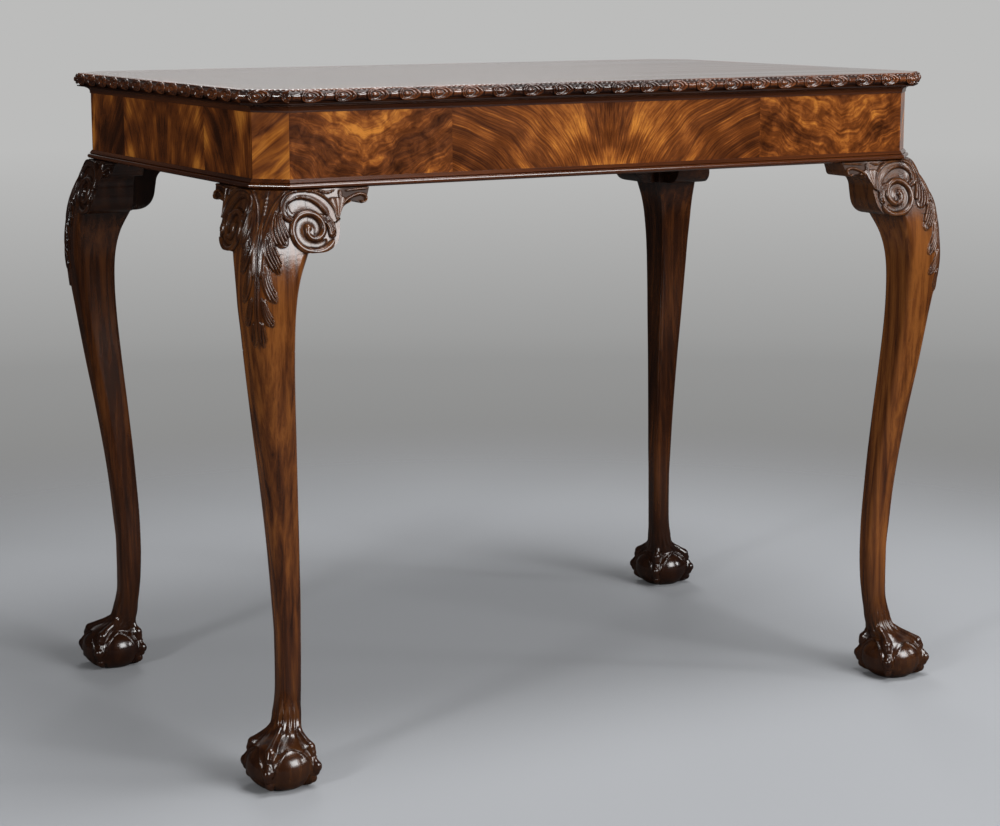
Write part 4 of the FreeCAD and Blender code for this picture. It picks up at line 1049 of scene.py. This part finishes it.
# %% [markdown]
# The carving pushes the surface out along its own slope, so the slope is worked
# out first from each point's neighbours. The half is then mirrored across the
# diagonal of the table's corner, and the whole leg is turned to each corner.


# %% Carve the leg
def slopes_of(points):
    """Unit vectors that stand on a grid of points."""
    normal = np.cross(np.gradient(points, axis=1), np.gradient(points, axis=0))
    return normal / np.maximum(np.linalg.norm(normal, axis=2, keepdims=True), 1e-9)


first_ring = len(foot_levels)
relief = carve_knee(across, np.repeat(levels[:, None], across.shape[1], 1), from_arris)
# Only the outer faces are carved, up to the inner edge of the post.
relief = relief * np.clip((inner_edge[:, None] + 1.2 - across) / 0.8, 0, 1)
normals = slopes_of(half)
# On the arris itself the slope points along the diagonal.
normals[:, 0, :2] = normals[:, 0, :2].mean(1)[:, None]
normals /= np.maximum(np.linalg.norm(normals, axis=2, keepdims=True), 1e-9)
normals = normals[first_ring:]
# Above the ledge the ear carries on where the carved face ends.
above = levels >= LEDGE
normals[above, ACROSS] = normals[above, ACROSS - 1]
relief[above, ACROSS + 1:] = 0
carved = half[first_ring:] + normals * relief[..., None]
carved[..., 2] = np.where(relief > 0, np.minimum(carved[..., 2], RAIL_BOTTOM), carved[..., 2])
# Carved wood is darker all over than the plain leg, and nobody polished the back of the knee.
stain = np.maximum(ease(levels, 575, 603)[:, None],
                   blurred((np.abs(relief) > 0.2).astype(float), 5)) * STAIN
stain[:, ACROSS + 1:] = BACK_STAIN * ease(levels, 560, 590)[:, None]
# The post behind the frieze has its corner cut, and as many points as the other rings.
post_middle = (CANT_SETBACK + POST_FACE * math.sqrt(2)) / 2
post = np.array([(post_middle, post_middle), (2 * post_middle - POST_FACE, POST_FACE), (STILE_INNER, POST_FACE),
                 (STILE_INNER, STILE_INNER)])
post_ring = walked_to(post, shaft_shares * walk(post)[-1])
posts = [np.column_stack([post_ring, np.full(len(post_ring), z)]) for z in (RAIL_BOTTOM, BOARD_UNDERSIDE - 0.2)]
carved_half = np.concatenate([half[:first_ring], carved, posts])
# The recesses of the foot and of the carving get painted shade, on top of the stain.
stain_and_shade_half = np.vstack([
    recess_shade(blurred(np.array(foot_radii), 1), 8, 1.6),
    np.clip(stain + recess_shade(relief, 5, 1.0), 0, 1),
    np.zeros((len(posts), across.shape[1]))])
leg_points = np.concatenate([carved_half[:, ::-1, [1, 0, 2]], carved_half[:, 1:]], axis=1)
leg_stain_and_shade = np.concatenate([stain_and_shade_half[:, ::-1], stain_and_shade_half[:, 1:]], axis=1)
print("whole leg:", leg_stain_and_shade.shape, "points, carved from", relief.min().round(2), "to", relief.max().round(2), "mm")


# %% Set up the four legs
def at_corner(points, number):
    """Move points from the corner's own frame to their place on the table."""
    turn = math.radians(90 * number)
    cosine, sine = math.cos(turn), math.sin(turn)
    placed = points.copy()
    placed[..., 0] = (-1, 1, 1, -1)[number] * HALF_LENGTH + points[..., 0] * cosine - points[..., 1] * sine
    placed[..., 1] = (-1, -1, 1, 1)[number] * HALF_DEPTH + points[..., 0] * sine + points[..., 1] * cosine
    return placed


for number, corner in enumerate(CORNERS):
    carved_piece("carved_leg_" + corner, at_corner(leg_points, number), leg_stain_and_shade,
                 "leg_" + corner, leg_woods[number])

# %% [markdown]
# ## The ears
# Each ear carries the knee's curve out under the rail. Its face is the same
# unrolled face, cut off along a swept lower edge. Columns of points run from that
# edge up to the rail, and then round over the back.

# %% Build the eight ears
EAR_REACH = 76.0
EAR_SHARES = (
    # along, up, and how far the span from here to the next point bows
    (0.00, 0.000, 0.0), (0.11, 0.000, 0.105), (0.46, 0.370, 0.0), (0.48, 0.500, -0.04), (0.63, 0.750, 0.0),
    (0.72, 0.790, -0.012), (0.84, 0.745, 0.035), (0.95, 0.850, 0.0), (1.00, 1.000, 0.0),
)


def ear_edge():
    """The lower edge of the ear."""
    corners = np.array([(STILE_INNER + x * EAR_REACH, LEDGE + z * EAR_HEIGHT) for x, z, _ in EAR_SHARES])
    t = np.linspace(0, 1, 14)[:-1, None]
    line = []
    for start, end, (_, _, bow) in zip(corners, corners[1:], EAR_SHARES):
        span = end - start
        aside = np.array([span[1], -span[0]]) / np.linalg.norm(span)
        line.append(start + span * t + aside * bow * EAR_REACH * 4 * t * (1 - t))
    line = np.vstack(line + [corners[-1:]])
    line[:, 0] = np.maximum.accumulate(line[:, 0])
    length = walk(line)[-1]
    return walked_to(line, np.linspace(0, length, int(length / 0.8)))


low_x, low_z = ear_edge().T
ear_x = np.repeat(low_x[None], 78, 0)
ear_z = low_z + np.linspace(0, 1, 78)[:, None] * (RAIL_BOTTOM - low_z)
slope_z = np.linspace(LEDGE, RAIL_BOTTOM, 60)
slope_y = section_at(slope_z)[:, 0]
ear_y = np.interp(ear_z, slope_z, slope_y)
lean = np.interp(ear_z, slope_z, np.gradient(slope_y, slope_z))
ear_relief = carve_knee(ear_x, ear_z, ear_x + 30)
push = ear_relief / np.sqrt(1 + lean ** 2)
face = np.stack([ear_x, ear_y - push, np.minimum(ear_z + push * lean, RAIL_BOTTOM)], -1)
ground = ease(ear_x, 78, 90) * (1 - ease(ear_relief, 0.3, 1.2))
low_edge = np.stack([low_x, ear_y[0] + 1.2, low_z], -1)
low_back = np.stack([low_x, np.full(len(low_x), EAR_INNER), low_z], -1)
high_back = np.stack([low_x, low_back[:, 1], np.full(len(low_x), RAIL_BOTTOM)], -1)
ear_points = np.concatenate([[low_back, low_edge], face, [high_back, low_back]])
# The ear's recesses get painted shade on top of the stain, and the flat ground out on the ear is darker still.
ear_stain_and_shade = np.pad(np.clip(STAIN + 0.3 * ground + recess_shade(ear_relief, 5, 1.0), 0, 1),
                    ((2, 2), (0, 0)), constant_values=BACK_STAIN)
for number, corner in enumerate(CORNERS):
    for side, order in ((SIDES[number], [0, 1, 2]), (SIDES[number - 1], [1, 0, 2])):
        place = "%s_%s" % (corner, side)
        carved_piece("carved_ear_" + place, at_corner(ear_points[..., order], number), ear_stain_and_shade,
                     "ear_bracket_" + place, leg_woods[number])

# %% [markdown]
# ## The carved edge
# The edge of the top is a half round with a running pattern, all cut down from the
# round: an oval that is blunt on the left and pointed on the right, with two rings
# and an eye, and a waisted link. The profile is walked from its back over the top,
# round the front and under, and the pattern is a function of how far along and how
# far round a point is.

# %% The edge's pattern
EDGE_SHOULDER, ROUND, ROUND_RISE, EDGE_WIDTH = 11.6, 6.75, 7.35, 30.0
EDGE_BACK = EDGE_WIDTH - EDGE_SHOULDER - ROUND
MITRE = math.tan(math.radians(22.5))
PITCH = 38.0
HALF_ARC = ROUND * math.pi / 2
GROUND, OVAL_GROUND = -2.1, -1.7
LINK_AT, LINK_HALF = 14.0, 5.0
OVAL_AT, OVAL_HALF_LENGTH, OVAL_HALF_HEIGHT = -5.2, 13.2, 8.6
OVAL_RIDGES = ((0.88, 0.13, -0.1), (0.60, 0.12, -0.35), (0.0, 0.36, 0.2))  # share of the oval, half width, crest


def edge_pattern(u, v):
    """Depth of the carving, 0 at the full round; u runs along, v round, both in mm."""
    u = np.mod(u + PITCH / 2, PITCH) - PITCH / 2
    top = np.full(u.shape, GROUND)
    # The link: a waisted spool.
    link = np.abs(u - LINK_AT) / LINK_HALF
    waist = 3.4 + 2.6 * np.clip(link, 0, 1) ** 2
    spool = -0.7 - 1.2 * np.clip(np.abs(v) / waist, 0, 1) ** 2 - 0.8 * np.clip((link - 0.75) / 0.25, 0, 1) ** 2
    top = np.where((link < 1) & (np.abs(v) < waist), np.maximum(top, spool), top)
    # The oval. Its rings are crowded to the left, so shell is found in a few rounds.
    shell = 0.0
    for _ in range(5):
        du = u - OVAL_AT + 5.0 * np.clip(1 - shell, 0, 1)
        power = np.where(du > 0, 1.55, 2.2)
        shell = ((np.abs(du) / OVAL_HALF_LENGTH) ** power + (np.abs(v) / OVAL_HALF_HEIGHT) ** power) ** (1 / power)
    oval = np.full(u.shape, OVAL_GROUND)
    for middle, half_width, crest in OVAL_RIDGES:
        ridge = OVAL_GROUND + (crest - OVAL_GROUND) * rounded((shell - middle) / half_width)
        oval = np.maximum(oval, ridge)
    top = np.where(shell < 1.0, np.maximum(top, oval), top)
    # Small cuts along the upper edge.
    notch = np.abs(np.mod(u + 1.2, 6.333) - 3.167) / 3.167
    top = np.where(v < -OVAL_HALF_HEIGHT, np.maximum(top, -0.2 - 1.4 * np.clip(1 - notch, 0, 1) ** 1.3), top)
    # The round runs out plain at its two edges.
    return top * np.clip(HALF_ARC - np.abs(v), 0, 1)


def edge_rows(u):
    """Distances outward, heights and painted shade for every column, from the back over the top."""
    turn = np.linspace(math.pi / 2, -math.pi / 2, 39)[:, None]
    depth = edge_pattern(*np.broadcast_arrays(u, (math.pi / 2 - turn) * ROUND - HALF_ARC))
    cosine, sine = np.cos(turn), np.sin(turn)
    out = EDGE_SHOULDER + ROUND * cosine ** 0.75 + depth * cosine
    height = TABLE_HEIGHT - ROUND_RISE + ROUND_RISE * np.sign(sine) * np.abs(sine) ** 0.9 + depth * sine
    height[0], height[-1] = TABLE_HEIGHT, TABLE_HEIGHT - 2 * ROUND_RISE
    before = np.array([(-EDGE_BACK, BOARD_UNDERSIDE), (-EDGE_BACK, TABLE_HEIGHT), (EDGE_SHOULDER - 1.5, TABLE_HEIGHT)])
    after = np.array([(EDGE_SHOULDER + 3.3, BOARD_UNDERSIDE + 1.4), (EDGE_SHOULDER + 3.7, BOARD_UNDERSIDE + 0.2),
                      (EDGE_SHOULDER + 3.4, BOARD_UNDERSIDE), (-EDGE_BACK, BOARD_UNDERSIDE)])
    flat = np.ones(u.shape)
    out = np.vstack([before[:, :1] * flat, out, after[:, :1] * flat])
    height = np.vstack([before[:, 1:] * flat, height, after[:, 1:] * flat])
    stain_and_shade = np.zeros(out.shape)
    # The cuts of the pattern get painted shade, the more the deeper they go.
    stain_and_shade[3:-4] = np.clip(-depth / 2.4, 0, 1) ** 1.5 + recess_shade(depth, 3, 0.9) * 0.6
    # The fillet under the round gets painted shade as dark as a deep recess, and is dull.
    stain_and_shade[-5:-1] = 0.97
    return out, height, stain_and_shade


def edge_piece(place, half_run, middle, bearing, material):
    """One mitred length of edge; bearing is the direction it runs in."""
    longest = half_run + (EDGE_SHOULDER + ROUND) * MITRE
    u = np.linspace(-longest, longest, int(2 * longest / 0.5) | 1)
    out, height, stain_and_shade = edge_rows(u)
    reach = half_run + out * MITRE
    run = np.clip(u, -reach, reach)
    cosine, sine = math.cos(bearing), math.sin(bearing)
    points = np.stack([middle[0] + run * cosine + out * sine, middle[1] + run * sine - out * cosine, height], -1)
    carved_piece("carved_edge_" + place, points, stain_and_shade, "edge_moulding_" + place, material)


print("depth of the pattern at an eye", edge_pattern(np.array([-10.0]), np.zeros(1)))

# %% Build the eight lengths of edge
for number, side in enumerate(SIDES):
    bearing = math.radians(90 * number)
    reach, run = ((HALF_DEPTH, HALF_LENGTH), (HALF_LENGTH, HALF_DEPTH))[number % 2]
    middle = (reach * math.sin(bearing), -reach * math.cos(bearing))
    edge_piece(side, run - CANT_SETBACK, middle, bearing, edge_woods[number % 2])
for number, corner in enumerate(CORNERS):
    middle = at_corner(np.array([CANT_SETBACK / 2, CANT_SETBACK / 2, 0.0]), number)
    edge_piece("corner_" + corner, CANT_SETBACK * math.sqrt(0.5), middle, math.radians(90 * number - 45), edge_woods[0])
